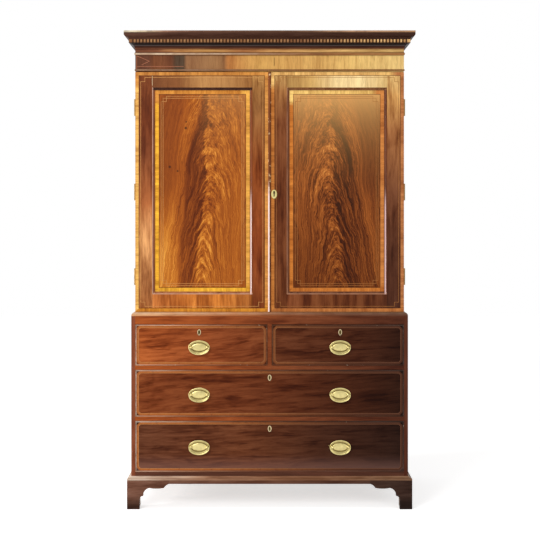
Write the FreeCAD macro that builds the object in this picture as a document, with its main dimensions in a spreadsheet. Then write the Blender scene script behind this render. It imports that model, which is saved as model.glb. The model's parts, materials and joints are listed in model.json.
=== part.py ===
import FreeCAD, Part
import os
import Sketcher

# A Georgian linen press: a cupboard with two panelled doors and sliding trays, standing on a base of two
# short and two long drawers, under a dentil cornice. Millimetres, +Z up, -Y to the front. The origin lies
# on the floor below the middle of the overall box, which runs from the cornice tip back to the back boards.

doc = FreeCAD.newDocument("linen_press")
Vector = FreeCAD.Vector

# ---------------------------------------------------------------------------------------------------
# Driving sizes: alias, value, what it is
# ---------------------------------------------------------------------------------------------------
SIZES = [
    # drawer base
    ("base_width", 1248, "outside width over the base sides"),
    ("base_depth", 570, "drawer fronts' plane to the back"),
    ("side_board", 18, "thickness of the base sides"),
    ("rail_thick", 18.5, "thickness of the drawer rails and the bottom board"),
    ("rail_deep", 70, "front to back size of a drawer rail"),
    ("deep_opening", 230, "height of the bottom drawer's opening"),
    ("middle_opening", 212, "height of the middle drawer's opening"),
    ("short_opening", 186, "height of the short drawers' openings"),
    ("top_rail_high", 37.5, "height of the rail over the short drawers"),
    ("top_rail_thick", 22, "front to back size of that rail"),
    ("top_board", 18, "thickness of the base's top board"),
    ("divider", 19, "thickness of the upright between the short drawers"),
    ("base_back", 12, "thickness of the base's back boards"),
    ("runner_wide", 25, "width of a drawer runner"),
    ("guide_high", 30, "height of the guide between the short drawers"),
    ("dust_board", 8, "thickness of the dust boards"),
    ("dust_board_rise", 5, "dust board above the underside of its rail"),
    ("stop_long", 40, "length of a drawer stop"),
    ("stop_deep", 30, "front to back size of a drawer stop"),
    ("stop_high", 8, "height of a drawer stop"),
    # plinth and feet
    ("foot_high", 130, "floor to the underside of the plinth moulding"),
    ("apron_high", 16, "height of the strips between the feet"),
    ("plinth_high", 16, "height of the plinth moulding"),
    ("plinth_reach", 17, "plinth moulding and feet stand out from the sides by this"),
    ("plinth_nose", 6, "plain nose at the bottom of the plinth moulding"),
    ("plinth_lip", 2, "projection at the top of the plinth moulding"),
    ("plinth_hollow", 2, "hollow of the plinth moulding"),
    ("bracket_thick", 20, "thickness of the bracket feet and the apron strips"),
    ("bearer_deep", 60, "front to back size of the bearers under the bottom board"),
    ("foot_wide", 190, "width of a bracket foot with its wing"),
    ("foot_leg", 56, "width of the foot at the floor"),
    ("foot_leg_high", 44, "height of the plain part of the leg"),
    ("foot_cove", 16, "size of the cove over the leg"),
    ("foot_cove_hollow", 4.6, "the cove's hollow"),
    ("foot_lobe", 28, "width of the lobe over the cove"),
    ("foot_lobe_bulge", 8.4, "the lobe's bulge"),
    ("foot_wing_high", 96, "height of the wing's underside"),
    ("foot_wing_run", 66, "length of the wing's underside"),
    ("foot_wing_bow", 3.2, "bow of the wing's underside and of its rise to the strip"),
    ("rear_bracket_wide", 120, "width of the plain brackets behind the rear feet"),
    ("foot_block", 34, "size of the block glued in each foot"),
    ("foot_block_rise", 6, "foot block above the floor"),
    # cupboard
    ("step", 16, "cupboard stands inside the base by this at the front and sides"),
    ("waist_high", 16, "height of the moulding round the foot of the cupboard"),
    ("waist_nose", 2, "plain nose of that moulding"),
    ("waist_bulge", 4, "bulge of that moulding"),
    ("case_side", 20, "thickness of the cupboard sides"),
    ("case_board", 17, "thickness of the cupboard's bottom and top boards"),
    ("case_back", 14, "thickness of the cupboard's back frame"),
    ("back_panel", 8, "thickness of the panels in that frame"),
    ("back_stile", 80, "width of the back frame's stiles and rails"),
    # doors
    ("door_high", 1085, "height of a door"),
    ("door_thick", 24, "thickness of a door"),
    ("door_foot_gap", 1, "gap below a door"),
    ("door_head_gap", 3, "gap over a door"),
    ("door_back_gap", 1, "gap between a closed door and the case"),
    ("meeting_gap", 1.5, "gap between the doors"),
    ("stile_wide", 77, "width of a door stile"),
    ("head_rail", 70, "height of a door's top rail"),
    ("foot_rail", 79, "height of a door's bottom rail"),
    ("panel_thick", 9, "thickness of a door panel"),
    ("panel_set_back", 8, "panel face behind the door face"),
    ("panel_groove", 8, "depth of the groove that holds the panel"),
    ("panel_play", 1, "room at the bottom of that groove"),
    ("tenon_long", 45, "length of the rail tenons"),
    ("tenon_shoulder", 12, "tenon is lower than its rail by this at each edge"),
    ("door_mould", 12, "width of the moulding round a door panel"),
    ("door_mould_lip", 2, "plain lips of that moulding"),
    ("bead_wide", 13.5, "width of the closing bead"),
    ("bead_stand", 6, "closing bead stands out by this"),
    ("bead_clear", 0.4, "closing bead clears the left door by this"),
    # hinges
    ("hinge_long", 76, "length of a butt hinge"),
    ("hinge_leaf", 2.1, "thickness of a hinge leaf"),
    ("hinge_leaf_wide", 17.7, "width of a leaf within the wood"),
    ("hinge_leaf_gap", 0.4, "gap between the closed leaves"),
    ("knuckle_radius", 4, "radius of the hinge knuckle"),
    ("knuckle_out", 4.3, "hinge axis outside the case side"),
    ("knuckle_gap", 0.3, "end gap between knuckles"),
    ("pin_radius", 2, "radius of the hinge pin"),
    ("pin_clear", 0.05, "radial clearance of the hinge pin"),
    ("hinge_inset", 120, "end hinges from the door's ends"),
    # locks and bolts
    ("lock_wide", 57, "width of the door lock"),
    ("lock_high", 92, "height of the door lock"),
    ("lock_deep", 13, "depth of the door lock"),
    ("bolt_high", 22, "height of the door lock's bolt"),
    ("bolt_thick", 5, "thickness of a lock bolt"),
    ("bolt_long", 34, "length of the door lock's bolt"),
    ("bolt_throw", 8, "travel of the door lock's bolt"),
    ("bolt_clear", 0.5, "clearance round a lock bolt"),
    ("escutcheon_wide", 26, "width of the door's oval escutcheon"),
    ("escutcheon_high", 40, "height of the door's oval escutcheon"),
    ("escutcheon_thick", 1.6, "thickness of the door's oval escutcheon"),
    ("door_keyhole_rise", 536, "door keyhole above the door's foot"),
    ("door_keyhole_in", 19.5, "door keyhole from the meeting edge"),
    ("keyhole_radius", 4, "radius of a door keyhole's round end"),
    ("keyhole_slot", 4, "width of a door keyhole's slot"),
    ("keyhole_drop", 14, "length of a door keyhole below its centre"),
    ("flush_bolt_long", 120, "length of a flush bolt"),
    ("flush_bolt_wide", 8, "width of a flush bolt"),
    ("flush_bolt_thick", 6, "thickness of a flush bolt"),
    ("flush_bolt_in", 24, "flush bolt from the meeting edge"),
    ("flush_bolt_throw", 12, "travel of a flush bolt"),
    ("flush_plate", 2, "thickness of the flush bolt's plate"),
    ("flush_plate_wide", 20, "width of the flush bolt's plate"),
    ("flush_plate_long", 150, "length of the flush bolt's plate"),
    ("thumb_radius", 3, "radius of the flush bolt's thumb stud"),
    ("thumb_stand", 3, "thumb stud stands out of the plate by this"),
    # trays
    ("tray_high", 140, "height of a tray"),
    ("tray_first", 20, "lowest ledge above the cupboard floor"),
    ("tray_spare", 4, "height left over above the spaces of the four trays"),
    ("tray_set_back", 34, "tray front behind the closed door"),
    ("tray_back_gap", 7, "tray back from the back frame"),
    ("tray_front", 12, "thickness of a tray front"),
    ("tray_side", 10, "thickness of a tray's sides and back"),
    ("tray_floor", 8, "thickness of a tray's bottom"),
    ("tray_scoop", 34, "depth of the dip in a tray front"),
    ("tray_scoop_half", 240, "half width of that dip"),
    ("tray_scoop_flat", 132, "half width of the dip's level floor"),
    ("tray_scoop_ease", 8.5, "curve of the dip's two ends"),
    ("tray_guide", 31, "thickness of a tray runner beside its tray"),
    ("tray_bearing", 17, "the ledge reaches past that guide by this, to carry the tray"),
    ("ledge_thick", 14, "thickness of the ledge under a tray"),
    ("ledge_guide_high", 22, "height of a tray runner above its ledge"),
    ("tray_play", 2, "gap between a tray and its guides"),
    # drawers
    ("drawer_gap", 1.5, "gap round a drawer front"),
    ("drawer_front", 22, "thickness of a drawer front"),
    ("drawer_back_gap", 22, "drawer back from the base's back boards"),
    ("drawer_side", 12, "thickness of a drawer's sides and back"),
    ("drawer_bottom", 8, "thickness of a drawer's bottom"),
    ("drawer_bottom_rise", 10, "drawer bottom above the lower edge of its sides"),
    ("drawer_side_drop", 8, "drawer sides lower than the opening by this"),
    ("run_gap", 0.3, "running gap under drawers and trays"),
    ("cock_bead", 4, "thickness of the cock beads"),
    ("cock_bead_stand", 3, "cock beads stand out by this"),
    ("cock_bead_crown", 1.4, "rise of a cock bead's rounded edge"),
    ("cock_bead_deep", 9, "cock beads are let in by this"),
    ("drawer_lock_wide", 60, "width of a drawer lock"),
    ("drawer_lock_high", 46, "height of a drawer lock"),
    ("drawer_lock_deep", 11, "depth of a drawer lock"),
    ("drawer_bolt_wide", 26, "width of a drawer lock's bolt"),
    ("drawer_bolt_long", 18, "length of a drawer lock's bolt"),
    ("drawer_bolt_throw", 7, "travel of a drawer lock's bolt"),
    ("key_from_top", 36, "drawer keyhole below the opening's top"),
    ("thread_wide", 16, "width of the thread escutcheon"),
    ("thread_high", 27, "height of the thread escutcheon"),
    ("thread_wall", 2, "wall of the thread escutcheon"),
    ("thread_deep", 5, "depth of the thread escutcheon"),
    # handles
    ("handle_out", 318, "handles from the middle of the press"),
    ("short_handle_rise", 83, "handles above the short drawers' openings"),
    ("middle_handle_rise", 100, "handles above the middle opening"),
    ("deep_handle_rise", 112, "handles above the bottom opening"),
    ("plate_wide", 96, "width of an oval back plate"),
    ("plate_high", 62, "height of an oval back plate"),
    ("plate_thick", 1.8, "thickness of a back plate"),
    ("boss_wide", 52, "width of the raised oval in the middle"),
    ("boss_high", 30, "height of the raised oval in the middle"),
    ("boss_stand", 1.3, "the raised oval stands above the plate by this"),
    ("post_half", 36, "posts from the middle of the handle"),
    ("post_radius", 3.2, "radius of a post's neck"),
    ("post_head", 4.8, "radius of a post's head"),
    ("post_head_long", 9.6, "length of a post's head"),
    ("pivot_out", 12, "bail pivots in front of the drawer face"),
    ("shank_radius", 2.5, "radius of a post's shank"),
    ("shank_clear", 0.1, "clearance of the shank in the drawer front"),
    ("nut_thick", 3, "thickness of that nut"),
    ("nut_wide", 12, "width of the square nut behind the drawer front"),
    ("bail_half", 44.5, "half width of a bail at its pivots"),
    ("bail_leg", 6, "straight part of a bail below each pivot"),
    ("bail_drop", 31, "a bail hangs below its pivots by this"),
    ("bail_end", 4.4, "width of a bail at its ends"),
    ("bail_swell", 6, "width of a bail in its middle"),
    ("bail_thick", 4.6, "front to back size of a bail"),
    ("bail_pin", 2, "radius of a bail's pins"),
    ("bail_pin_clear", 0.06, "radial clearance of those pins"),
    # frieze and cornice
    ("frieze_board", 20, "thickness of the frieze boards"),
    ("frieze_bead_lift", 2, "bottom bead above the frieze boards' lower edge"),
    ("frieze_bead_high", 7, "height of the bottom bead"),
    ("frieze_bead_reach", 3, "projection of the bottom bead"),
    ("frieze_high", 64, "bottom bead to astragal"),
    ("round_lip", 0.9, "square edges of the bottom bead and the astragal"),
    ("astragal_high", 12, "height of the astragal"),
    ("astragal_reach", 4, "projection of the astragal"),
    ("fascia_high", 17, "astragal to cove"),
    ("cove_high", 23, "height of the cove"),
    ("cove_hollow", 5.75, "hollow of the cove"),
    ("cove_foot", 2, "projection at the foot of the cove"),
    ("dentil_high", 16, "height of the dentil course"),
    ("dentil_back_reach", 18, "projection of the board behind the dentils"),
    ("dentil_reach", 26, "projection of the dentils"),
    ("dentil_slot_deep", 4, "depth of the cuts between dentils"),
    ("dentil_wide", 8, "width of a dentil"),
    ("dentil_slot", 7, "width of a cut between dentils"),
    ("crown_high", 20, "height of the crown moulding's curve"),
    ("crown_curve", 2.4, "hollow and bulge of that curve"),
    ("cornice_reach", 46, "projection of the cornice"),
    ("fillet_high", 16, "height of the square fillet at the top"),
    ("frieze_top_board", 8, "thickness of the dust board on the cornice"),
]

# ---------------------------------------------------------------------------------------------------
# Places worked out from those sizes: alias, formula, what it is
# ---------------------------------------------------------------------------------------------------
PLACES = [
    ("side", "dims.base_width / 2", "outer face of the base side"),
    ("back", "(dims.base_depth - dims.step + dims.cornice_reach) / 2", "back plane"),
    ("front", "at.back - dims.base_depth", "plane of the drawer fronts"),
    ("base_in", "at.side - dims.side_board", "inner face of the base side"),
    ("base_back_in", "at.back - dims.base_back", "inner face of the base's back boards"),
    ("floor_board", "dims.foot_high + dims.plinth_high", "underside of the base's bottom board"),
    ("deep_floor", "at.floor_board + dims.rail_thick", "bottom of the deep opening"),
    ("lower_rail", "at.deep_floor + dims.deep_opening", "underside of the lower rail"),
    ("middle_floor", "at.lower_rail + dims.rail_thick", "bottom of the middle opening"),
    ("upper_rail", "at.middle_floor + dims.middle_opening", "underside of the upper rail"),
    ("short_floor", "at.upper_rail + dims.rail_thick", "bottom of the short openings"),
    ("top_rail", "at.short_floor + dims.short_opening", "underside of the top rail"),
    ("base_top", "at.top_rail + dims.top_rail_high", "top of the base"),
    ("case", "at.side - dims.step", "outer face of the cupboard side"),
    ("case_in", "at.case - dims.case_side", "inner face of the cupboard side"),
    ("door_face", "at.front + dims.step", "front of the doors"),
    ("door_back", "at.door_face + dims.door_thick", "back of the doors"),
    ("case_front", "at.door_back + dims.door_back_gap", "front edges of the cupboard sides"),
    ("case_floor", "at.base_top + dims.case_board", "cupboard floor"),
    ("door_foot", "at.case_floor + dims.door_foot_gap", "lower edge of the doors"),
    ("door_head", "at.door_foot + dims.door_high", "upper edge of the doors"),
    ("case_top", "at.door_head + dims.door_head_gap", "top of the cupboard"),
    ("case_ceiling", "at.case_top - dims.case_board", "underside of the cupboard's top board"),
    ("back_in", "at.back - dims.case_back", "inner face of the cupboard's back"),
    ("meet", "dims.meeting_gap / 2", "meeting edge of a door from the middle"),
    ("stile_in", "at.meet + dims.stile_wide", "inner edge of a meeting stile"),
    ("stile_out", "at.case - dims.stile_wide", "inner edge of a hinge stile"),
    ("sight_foot", "at.door_foot + dims.foot_rail", "upper edge of a bottom rail"),
    ("sight_head", "at.door_head - dims.head_rail", "lower edge of a top rail"),
    ("panel_face", "at.door_face + dims.panel_set_back", "front of a door panel"),
    ("panel_rear", "at.panel_face + dims.panel_thick", "back of a door panel"),
    ("hinge_x", "at.case + dims.knuckle_out", "hinge axis from the middle"),
    ("hinge_y", "at.door_back + dims.door_back_gap / 2", "hinge axis, front to back"),
    ("keyhole_x", "at.meet + dims.door_keyhole_in", "door keyhole from the middle"),
    ("keyhole_z", "at.door_foot + dims.door_keyhole_rise", "height of the door keyhole"),
    ("frieze_bead", "at.case_top + dims.frieze_bead_lift", "underside of the frieze's bottom bead"),
    ("frieze_foot", "at.frieze_bead + dims.frieze_bead_high", "lower edge of the plain frieze"),
    ("astragal", "at.frieze_foot + dims.frieze_high", "underside of the astragal"),
    ("cove", "at.astragal + dims.astragal_high + dims.fascia_high", "foot of the cove"),
    ("dentils", "at.cove + dims.cove_high", "underside of the dentil course"),
    ("dentil_pitch", "dims.dentil_wide + dims.dentil_slot", "spacing of the dentils"),
    ("dentil_count", "floor(2 * (at.case + dims.dentil_back_reach) / at.dentil_pitch)", "cuts at the front"),
    ("dentil_end", "(at.dentil_count - 1) * at.dentil_pitch / 2", "end cuts from the middle"),
    ("dentil_side_count", "floor((at.back - at.door_face - at.case + at.dentil_end) / at.dentil_pitch)",
     "cuts at each side"),
    ("crown", "at.dentils + dims.dentil_high", "foot of the crown moulding"),
    ("fillet", "at.crown + dims.crown_high", "foot of the top fillet"),
    ("top", "at.fillet + dims.fillet_high", "top of the press"),
    ("tray_face", "at.door_back + dims.tray_set_back", "front of the trays"),
    ("tray_rear", "at.back_in - dims.tray_back_gap", "back of the trays"),
    ("tray_edge", "at.case_in - dims.tray_guide - dims.tray_play", "outer face of a tray side"),
    ("tray_pitch", "(at.case_ceiling - at.case_floor - dims.tray_first - dims.tray_spare) / 4",
     "spacing of the trays"),
    ("drawer_rear", "at.base_back_in - dims.drawer_back_gap", "back of the drawers"),
]


def fill_sheet(name, rows, prefix):
    sheet = doc.addObject("Spreadsheet::Sheet", name)
    for row, (alias, content, note) in enumerate(rows, 1):
        sheet.set(f"A{row}", note)
        sheet.set(f"B{row}", f"{prefix}{content}")
        sheet.setAlias(f"B{row}", alias)
    return sheet


dims = fill_sheet("dims", SIZES, "")
at = fill_sheet("at", PLACES, "=")
doc.recompute()
nodes = []


def value(formula):
    return float(dims.evalExpression(formula))


# ---------------------------------------------------------------------------------------------------
# Building blocks; every size and place is a formula in the two sheets' aliases
# ---------------------------------------------------------------------------------------------------
def place(thing, x=None, y=None, z=None):
    for axis, formula in (("x", x), ("y", y), ("z", z)):
        if formula is not None:
            thing.setExpression(f"Placement.Base.{axis}", formula)
    return thing


def box(name, x, y, z):
    """A board between pairs of planes: left and right, front and back, bottom and top."""
    thing = doc.addObject("Part::Box", name)
    for size, (low, high) in (("Length", x), ("Width", y), ("Height", z)):
        thing.setExpression(size, f"({high}) - ({low})")
    return place(thing, x[0], y[0], z[0])


TURNS = {
    "x": FreeCAD.Rotation(Vector(0, 1, 0), 90),
    "y": FreeCAD.Rotation(Vector(1, 0, 0), -90),
    "z": FreeCAD.Rotation(),
}


def rod(name, axis, start, length, radius):
    """A round bar from a start point along +x, +y or +z."""
    thing = doc.addObject("Part::Cylinder", name)
    thing.setExpression("Radius", radius)
    thing.setExpression("Height", length)
    thing.Placement.Rotation = TURNS[axis]
    return place(thing, *start)


def bar(name, axis, start, length, radius, sides=12):
    """A bar with flats all round, which touch the circle of the given radius. Small pieces that repeat many
    times are made so, to have few faces."""
    thing = doc.addObject("Part::Prism", name)
    thing.Polygon = sides
    thing.setExpression("Circumradius", f"({radius}) / cos(180 / {sides})")
    thing.setExpression("Height", length)
    thing.Placement.Rotation = TURNS[axis]
    return place(thing, *start)


def oval(name, x, z, rear, thick, wide, high, sides=24):
    """An oval plate in the XZ plane, standing forward from its rear plane, its edge in short flats."""
    path = [(f"({x}) + ({wide}) / 2 * cos({side} * 360 / {sides})",
             f"({z}) + ({high}) / 2 * sin({side} * 360 / {sides})") for side in range(sides)]
    return run(name, "XZ", path, (f"{rear} - ({thick})", rear))


def fuse(name, parts):
    thing = doc.addObject("Part::MultiFuse", name)
    thing.Shapes = parts
    return thing


def cut(name, base, tools):
    thing = doc.addObject("Part::Cut", name)
    thing.Base = base
    thing.Tool = tools[0] if len(tools) == 1 else fuse(f"{name}_tools", tools)
    return thing


def mirror(name, source, axis="x", middle=None):
    thing = doc.addObject("Part::Mirroring", name)
    thing.Source = source
    thing.Normal = {"x": Vector(1, 0, 0), "z": Vector(0, 0, 1)}[axis]
    if middle is not None:
        thing.setExpression(f"Base.{axis}", middle)
    return thing


def pair(name, right):
    """A right-hand piece and its mirrored left-hand fellow."""
    return [right, mirror(f"{name}_left", right)]


def node(label, parts):
    """A named sub-part, made of one or more separate solids."""
    thing = doc.addObject("Part::Compound", label)
    thing.Label = label
    thing.Links = parts
    nodes.append(thing)
    return thing


def outline(sketch, path):
    """A closed line through path's corners. A corner is (u, v), or (u, v, rise) where the edge that leaves
    it is an arc, which bulges to the right of its run by rise, or to the left if rise is negative."""
    corners = [Vector(value(corner[0]), value(corner[1]), 0) for corner in path]
    ends = []
    for index, corner in enumerate(path):
        start = corners[index]
        stop = corners[(index + 1) % len(path)]
        if len(corner) == 2:
            sketch.addGeometry(Part.LineSegment(start, stop))
            ends.append((1, 2))
            continue
        rise = value(corner[2])
        run = stop - start
        middle = (start + stop) / 2 + Vector(run.y, -run.x, 0).normalize() * rise
        edge = Part.Arc(start, middle, stop)
        sketch.addGeometry(edge)
        ends.append((1, 2) if rise > 0 else (2, 1))
    for index, corner in enumerate(path):
        following = (index + 1) % len(path)
        sketch.addConstraint(Sketcher.Constraint(
            "Coincident", index, ends[index][1], following, ends[following][0]))
        for kind, formula, number in (
                ("DistanceX", corner[0], corners[index].x), ("DistanceY", corner[1], corners[index].y)):
            made = sketch.addConstraint(Sketcher.Constraint(kind, -1, 1, index, ends[index][0], number))
            sketch.setExpression(f"Constraints[{made}]", formula)
        if len(corner) == 3:
            there = path[following]
            chord = f"(({there[0]}) - ({corner[0]}))^2 + (({there[1]}) - ({corner[1]}))^2"
            radius = f"({chord}) / (8 * abs({corner[2]})) + abs({corner[2]}) / 2"
            made = sketch.addConstraint(Sketcher.Constraint("Radius", index, value(radius)))
            sketch.setExpression(f"Constraints[{made}]", radius)


def sketch_in(body, plane, path):
    sketch = body.newObject("Sketcher::SketchObject", f"{body.Name}_sketch")
    origin = [item for item in body.Origin.OriginFeatures if item.Role == f"{plane}_Plane"][0]
    sketch.AttachmentSupport = [(origin, "")]
    sketch.MapMode = "FlatFace"
    outline(sketch, path)
    return sketch


# A sketch in the XZ plane faces -Y, so its pad starts at the far end of the run
PAD_START = {"XY": ("z", 0), "YZ": ("x", 0), "XZ": ("y", 1)}


def run(name, plane, path, span):
    """A length of one section: path is drawn in the plane, and span gives the two ends across it."""
    body = doc.addObject("PartDesign::Body", name)
    sketch = sketch_in(body, plane, path)
    pad = body.newObject("PartDesign::Pad", f"{name}_pad")
    pad.Profile = sketch
    pad.setExpression("Length", f"({span[1]}) - ({span[0]})")
    axis, first = PAD_START[plane]
    place(body, **{axis: span[first]})
    return body


# ---------------------------------------------------------------------------------------------------
# Mitred mouldings. The base, the cupboard and the cornice all mitre on one upright plane at 45 degrees
# through the corner of the base, because the cupboard is set in by the same step at front and sides.
# ---------------------------------------------------------------------------------------------------
MITRE_IN = "(dims.step + 2 * dims.bracket_thick)"
MITRE_OUT = "(dims.cornice_reach + dims.step)"
CORNER_IN = (f"at.side - {MITRE_IN}", f"at.front + {MITRE_IN}")
CORNER_OUT = (f"at.side + {MITRE_OUT}", f"at.front - {MITRE_OUT}")
FULL_HEIGHT = ("-dims.step", "at.top + dims.step")

beyond_right = run("beyond_right", "XY", [CORNER_IN, CORNER_OUT, (CORNER_OUT[0], CORNER_IN[1])], FULL_HEIGHT)
beyond_left = mirror("beyond_left", beyond_right)
beyond_front = run("beyond_front", "XY", [CORNER_IN, (CORNER_IN[0], CORNER_OUT[1]), CORNER_OUT], FULL_HEIGHT)


def mitred_front(name, section, side, face, reach):
    """A front length. Section corners are (projection, height), or with a rise for an arc."""
    path = [(f"({face}) - ({corner[0]})",) + corner[1:] for corner in section]
    end = f"({side}) + ({reach})"
    return cut(name, run(f"{name}_length", "YZ", path, (f"-({end})", end)), [beyond_right, beyond_left])


def flipped(section):
    """The same section with its arcs' rises turned about, for a plane that shows it mirrored."""
    return [corner if len(corner) == 2 else (corner[0], corner[1], f"-({corner[2]})") for corner in section]


def mitred_return(name, section, side, face, reach):
    """A return along the right side, from the same section."""
    path = [(f"({side}) + ({corner[0]})",) + corner[1:] for corner in flipped(section)]
    length = run(f"{name}_length", "XZ", path, (f"({face}) - ({reach})", "at.back"))
    return cut(name, length, [beyond_front])


def moulding(name, section, side, face, reach):
    """Three lengths round the front and sides."""
    front = mitred_front(f"{name}_front", section, side, face, reach)
    return [front] + pair(f"{name}_side", mitred_return(f"{name}_right", section, side, face, reach))


def mitred_frame(name, left, right, foot, head, section, width):
    """Four lengths of one width round a rectangle in the XZ plane. Section corners are (distance in, y)."""
    across = f"(({left}) + ({right})) / 2"
    upright = f"(({foot}) + ({head})) / 2"
    low = [(corner[1], f"({foot}) + ({corner[0]})") + corner[2:] for corner in section]
    up = [(f"({left}) + ({corner[0]})",) + corner[1:] for corner in section]
    mitre = f"(2 * ({width}))"
    depth = ("at.front - dims.step", "at.door_back")
    over_left = run(f"{name}_over", "XZ", [
        (left, foot), (f"({left}) + {mitre}", f"({foot}) + {mitre}"), (left, f"({foot}) + {mitre}")], depth)
    under_left = run(f"{name}_under", "XZ", [
        (left, foot), (f"({left}) + {mitre}", foot), (f"({left}) + {mitre}", f"({foot}) + {mitre}")], depth)
    over_right = mirror(f"{name}_over_right", over_left, "x", across)
    under_head = mirror(f"{name}_under_head", under_left, "z", upright)
    bottom = cut(f"{name}_bottom", run(f"{name}_bottom_length", "YZ", low, (left, right)),
                 [over_left, over_right])
    upright_left = cut(f"{name}_upright", run(f"{name}_upright_length", "XY", flipped(up), (foot, head)),
                       [under_left, under_head])
    return [bottom, mirror(f"{name}_top", bottom, "z", upright),
            upright_left, mirror(f"{name}_upright_right", upright_left, "x", across)]


# ---------------------------------------------------------------------------------------------------
# Plinth and feet
# ---------------------------------------------------------------------------------------------------
FOOT_FACE = "(at.front - dims.plinth_reach)"
FOOT_SIDE = "(at.side + dims.plinth_reach)"


def foot_outline(edge, inwards):
    """The bracket foot: a plain leg, a cove, a lobe and a wing that runs into the apron strip."""
    def across(distance):
        return f"({edge}) {inwards} ({distance})"

    turn = 1 if inwards == "+" else -1
    cove_top = "(dims.foot_leg_high + dims.foot_cove)"
    lobe_end = "(dims.foot_leg + dims.foot_cove + dims.foot_lobe)"
    wing_end = f"({lobe_end} + dims.foot_wing_run)"
    return [
        (across("0"), "0"),
        (across("dims.foot_leg"), "0"),
        (across("dims.foot_leg"), "dims.foot_leg_high", f"{-turn} * dims.foot_cove_hollow"),
        (across("dims.foot_leg + dims.foot_cove"), cove_top, f"{-turn} * dims.foot_lobe_bulge"),
        (across(lobe_end), "dims.foot_wing_high", f"{turn} * dims.foot_wing_bow"),
        (across(wing_end), "dims.foot_wing_high", f"{-turn} * dims.foot_wing_bow"),
        (across("dims.foot_wide"), "dims.foot_high - dims.apron_high"),
        (across("dims.foot_wide"), "dims.foot_high"),
        (across("0"), "dims.foot_high"),
    ]


def bracket_feet():
    inner_face = f"{FOOT_FACE} + dims.bracket_thick"
    inner_side = f"{FOOT_SIDE} - dims.bracket_thick"
    front = cut("front_bracket", run("front_bracket_board", "XZ", foot_outline(FOOT_SIDE, "-"),
                                     (FOOT_FACE, inner_face)), [beyond_right])
    side = cut("side_bracket", run("side_bracket_board", "YZ", foot_outline(FOOT_FACE, "+"),
                                   (inner_side, FOOT_SIDE)), [beyond_front])
    rear_side = run("rear_side_bracket", "YZ", foot_outline("at.back", "-"), (inner_side, FOOT_SIDE))
    rear_edge = f"{inner_side} - dims.rear_bracket_wide"
    rear = run("rear_bracket", "XZ", [
        (inner_side, "0"), (inner_side, "dims.foot_high"), (rear_edge, "dims.foot_high"),
        (rear_edge, "dims.foot_high - dims.apron_high"), (f"{inner_side} - dims.foot_leg", "0")],
        ("at.back - dims.bracket_thick", "at.back"))
    node("bracket_feet", pair("front_bracket", front) + pair("side_bracket", side)
         + pair("rear_side", rear_side) + pair("rear_bracket", rear))
    block_x = (f"{inner_side} - dims.foot_block", inner_side)
    block_z = ("dims.foot_block_rise", "dims.foot_high")
    near = box("front_block", block_x, (inner_face, f"{inner_face} + dims.foot_block"), block_z)
    far = box("rear_block", block_x, (
        "at.back - dims.bracket_thick - dims.foot_block", "at.back - dims.bracket_thick"), block_z)
    node("foot_blocks", pair("front_block", near) + pair("rear_block", far))


def plinth():
    section = [
        ("0", "dims.foot_high"),
        ("0", "at.floor_board"),
        ("dims.plinth_lip", "at.floor_board", "-dims.plinth_hollow"),
        ("dims.plinth_reach", "dims.foot_high + dims.plinth_nose"),
        ("dims.plinth_reach", "dims.foot_high"),
    ]
    node("plinth_moulding", moulding("plinth", section, "at.side", "at.front", "dims.plinth_reach"))
    bearer_z = ("dims.foot_high", "at.floor_board")
    strip_z = ("dims.foot_high - dims.apron_high", "dims.foot_high")
    inner_side = f"{FOOT_SIDE} - dims.bracket_thick"
    across = ("-at.base_in", "at.base_in")
    strip_end = f"{FOOT_SIDE} - dims.foot_wide"
    side_strip = box("side_strip", (inner_side, FOOT_SIDE), (
        f"{FOOT_FACE} + dims.foot_wide", "at.back - dims.foot_wide"), strip_z)
    node("plinth_frame", [
        box("front_bearer", across, ("at.front", "at.front + dims.bearer_deep"), bearer_z),
        box("rear_bearer", across, ("at.back - dims.bearer_deep", "at.back"), bearer_z),
        box("front_strip", (f"-({strip_end})", strip_end), (
            FOOT_FACE, f"{FOOT_FACE} + dims.bracket_thick"), strip_z),
    ] + pair("side_strip", side_strip))


# ---------------------------------------------------------------------------------------------------
# Base carcass
# ---------------------------------------------------------------------------------------------------
# Each drawer: opening's left, right, floor and height, where its handles and its keyhole are
DRAWERS = {
    "left_short": ("-at.base_in", "-dims.divider / 2", "at.short_floor", "dims.short_opening",
                   "dims.short_handle_rise", ("-dims.handle_out",), "-dims.handle_out"),
    "right_short": ("dims.divider / 2", "at.base_in", "at.short_floor", "dims.short_opening",
                    "dims.short_handle_rise", ("dims.handle_out",), "dims.handle_out"),
    "middle": ("-at.base_in", "at.base_in", "at.middle_floor", "dims.middle_opening",
               "dims.middle_handle_rise", ("-dims.handle_out", "dims.handle_out"), "0"),
    "bottom": ("-at.base_in", "at.base_in", "at.deep_floor", "dims.deep_opening",
               "dims.deep_handle_rise", ("-dims.handle_out", "dims.handle_out"), "0"),
}
BOLT_FRONT = "(at.front + dims.drawer_front - (dims.drawer_lock_deep + dims.bolt_thick) / 2)"


def bolt_mortice(name, key_x, head):
    """The slot in the wood over a drawer that takes its lock's bolt."""
    half = "(dims.drawer_bolt_wide / 2 + dims.bolt_clear)"
    return box(f"{name}_mortice", (f"({key_x}) - {half}", f"({key_x}) + {half}"), (
        f"{BOLT_FRONT} - dims.bolt_clear", f"{BOLT_FRONT} + dims.bolt_thick + dims.bolt_clear"),
        (head, f"({head}) + dims.drawer_bolt_throw"))


def drawer_stops():
    """Two blocks behind each drawer front, which it closes against."""
    stops = []
    for name, row in DRAWERS.items():
        quarter = f"((({row[1]}) - ({row[0]})) / 4)"
        for number in (1, 3):
            middle = f"({row[0]}) + {quarter} * {number}"
            stops.append(box(f"{name}_stop_{number}", (
                f"{middle} - dims.stop_long / 2", f"{middle} + dims.stop_long / 2"),
                ("at.front + dims.drawer_front", "at.front + dims.drawer_front + dims.stop_deep"),
                (row[2], f"{row[2]} + dims.stop_high")))
    return stops


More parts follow.
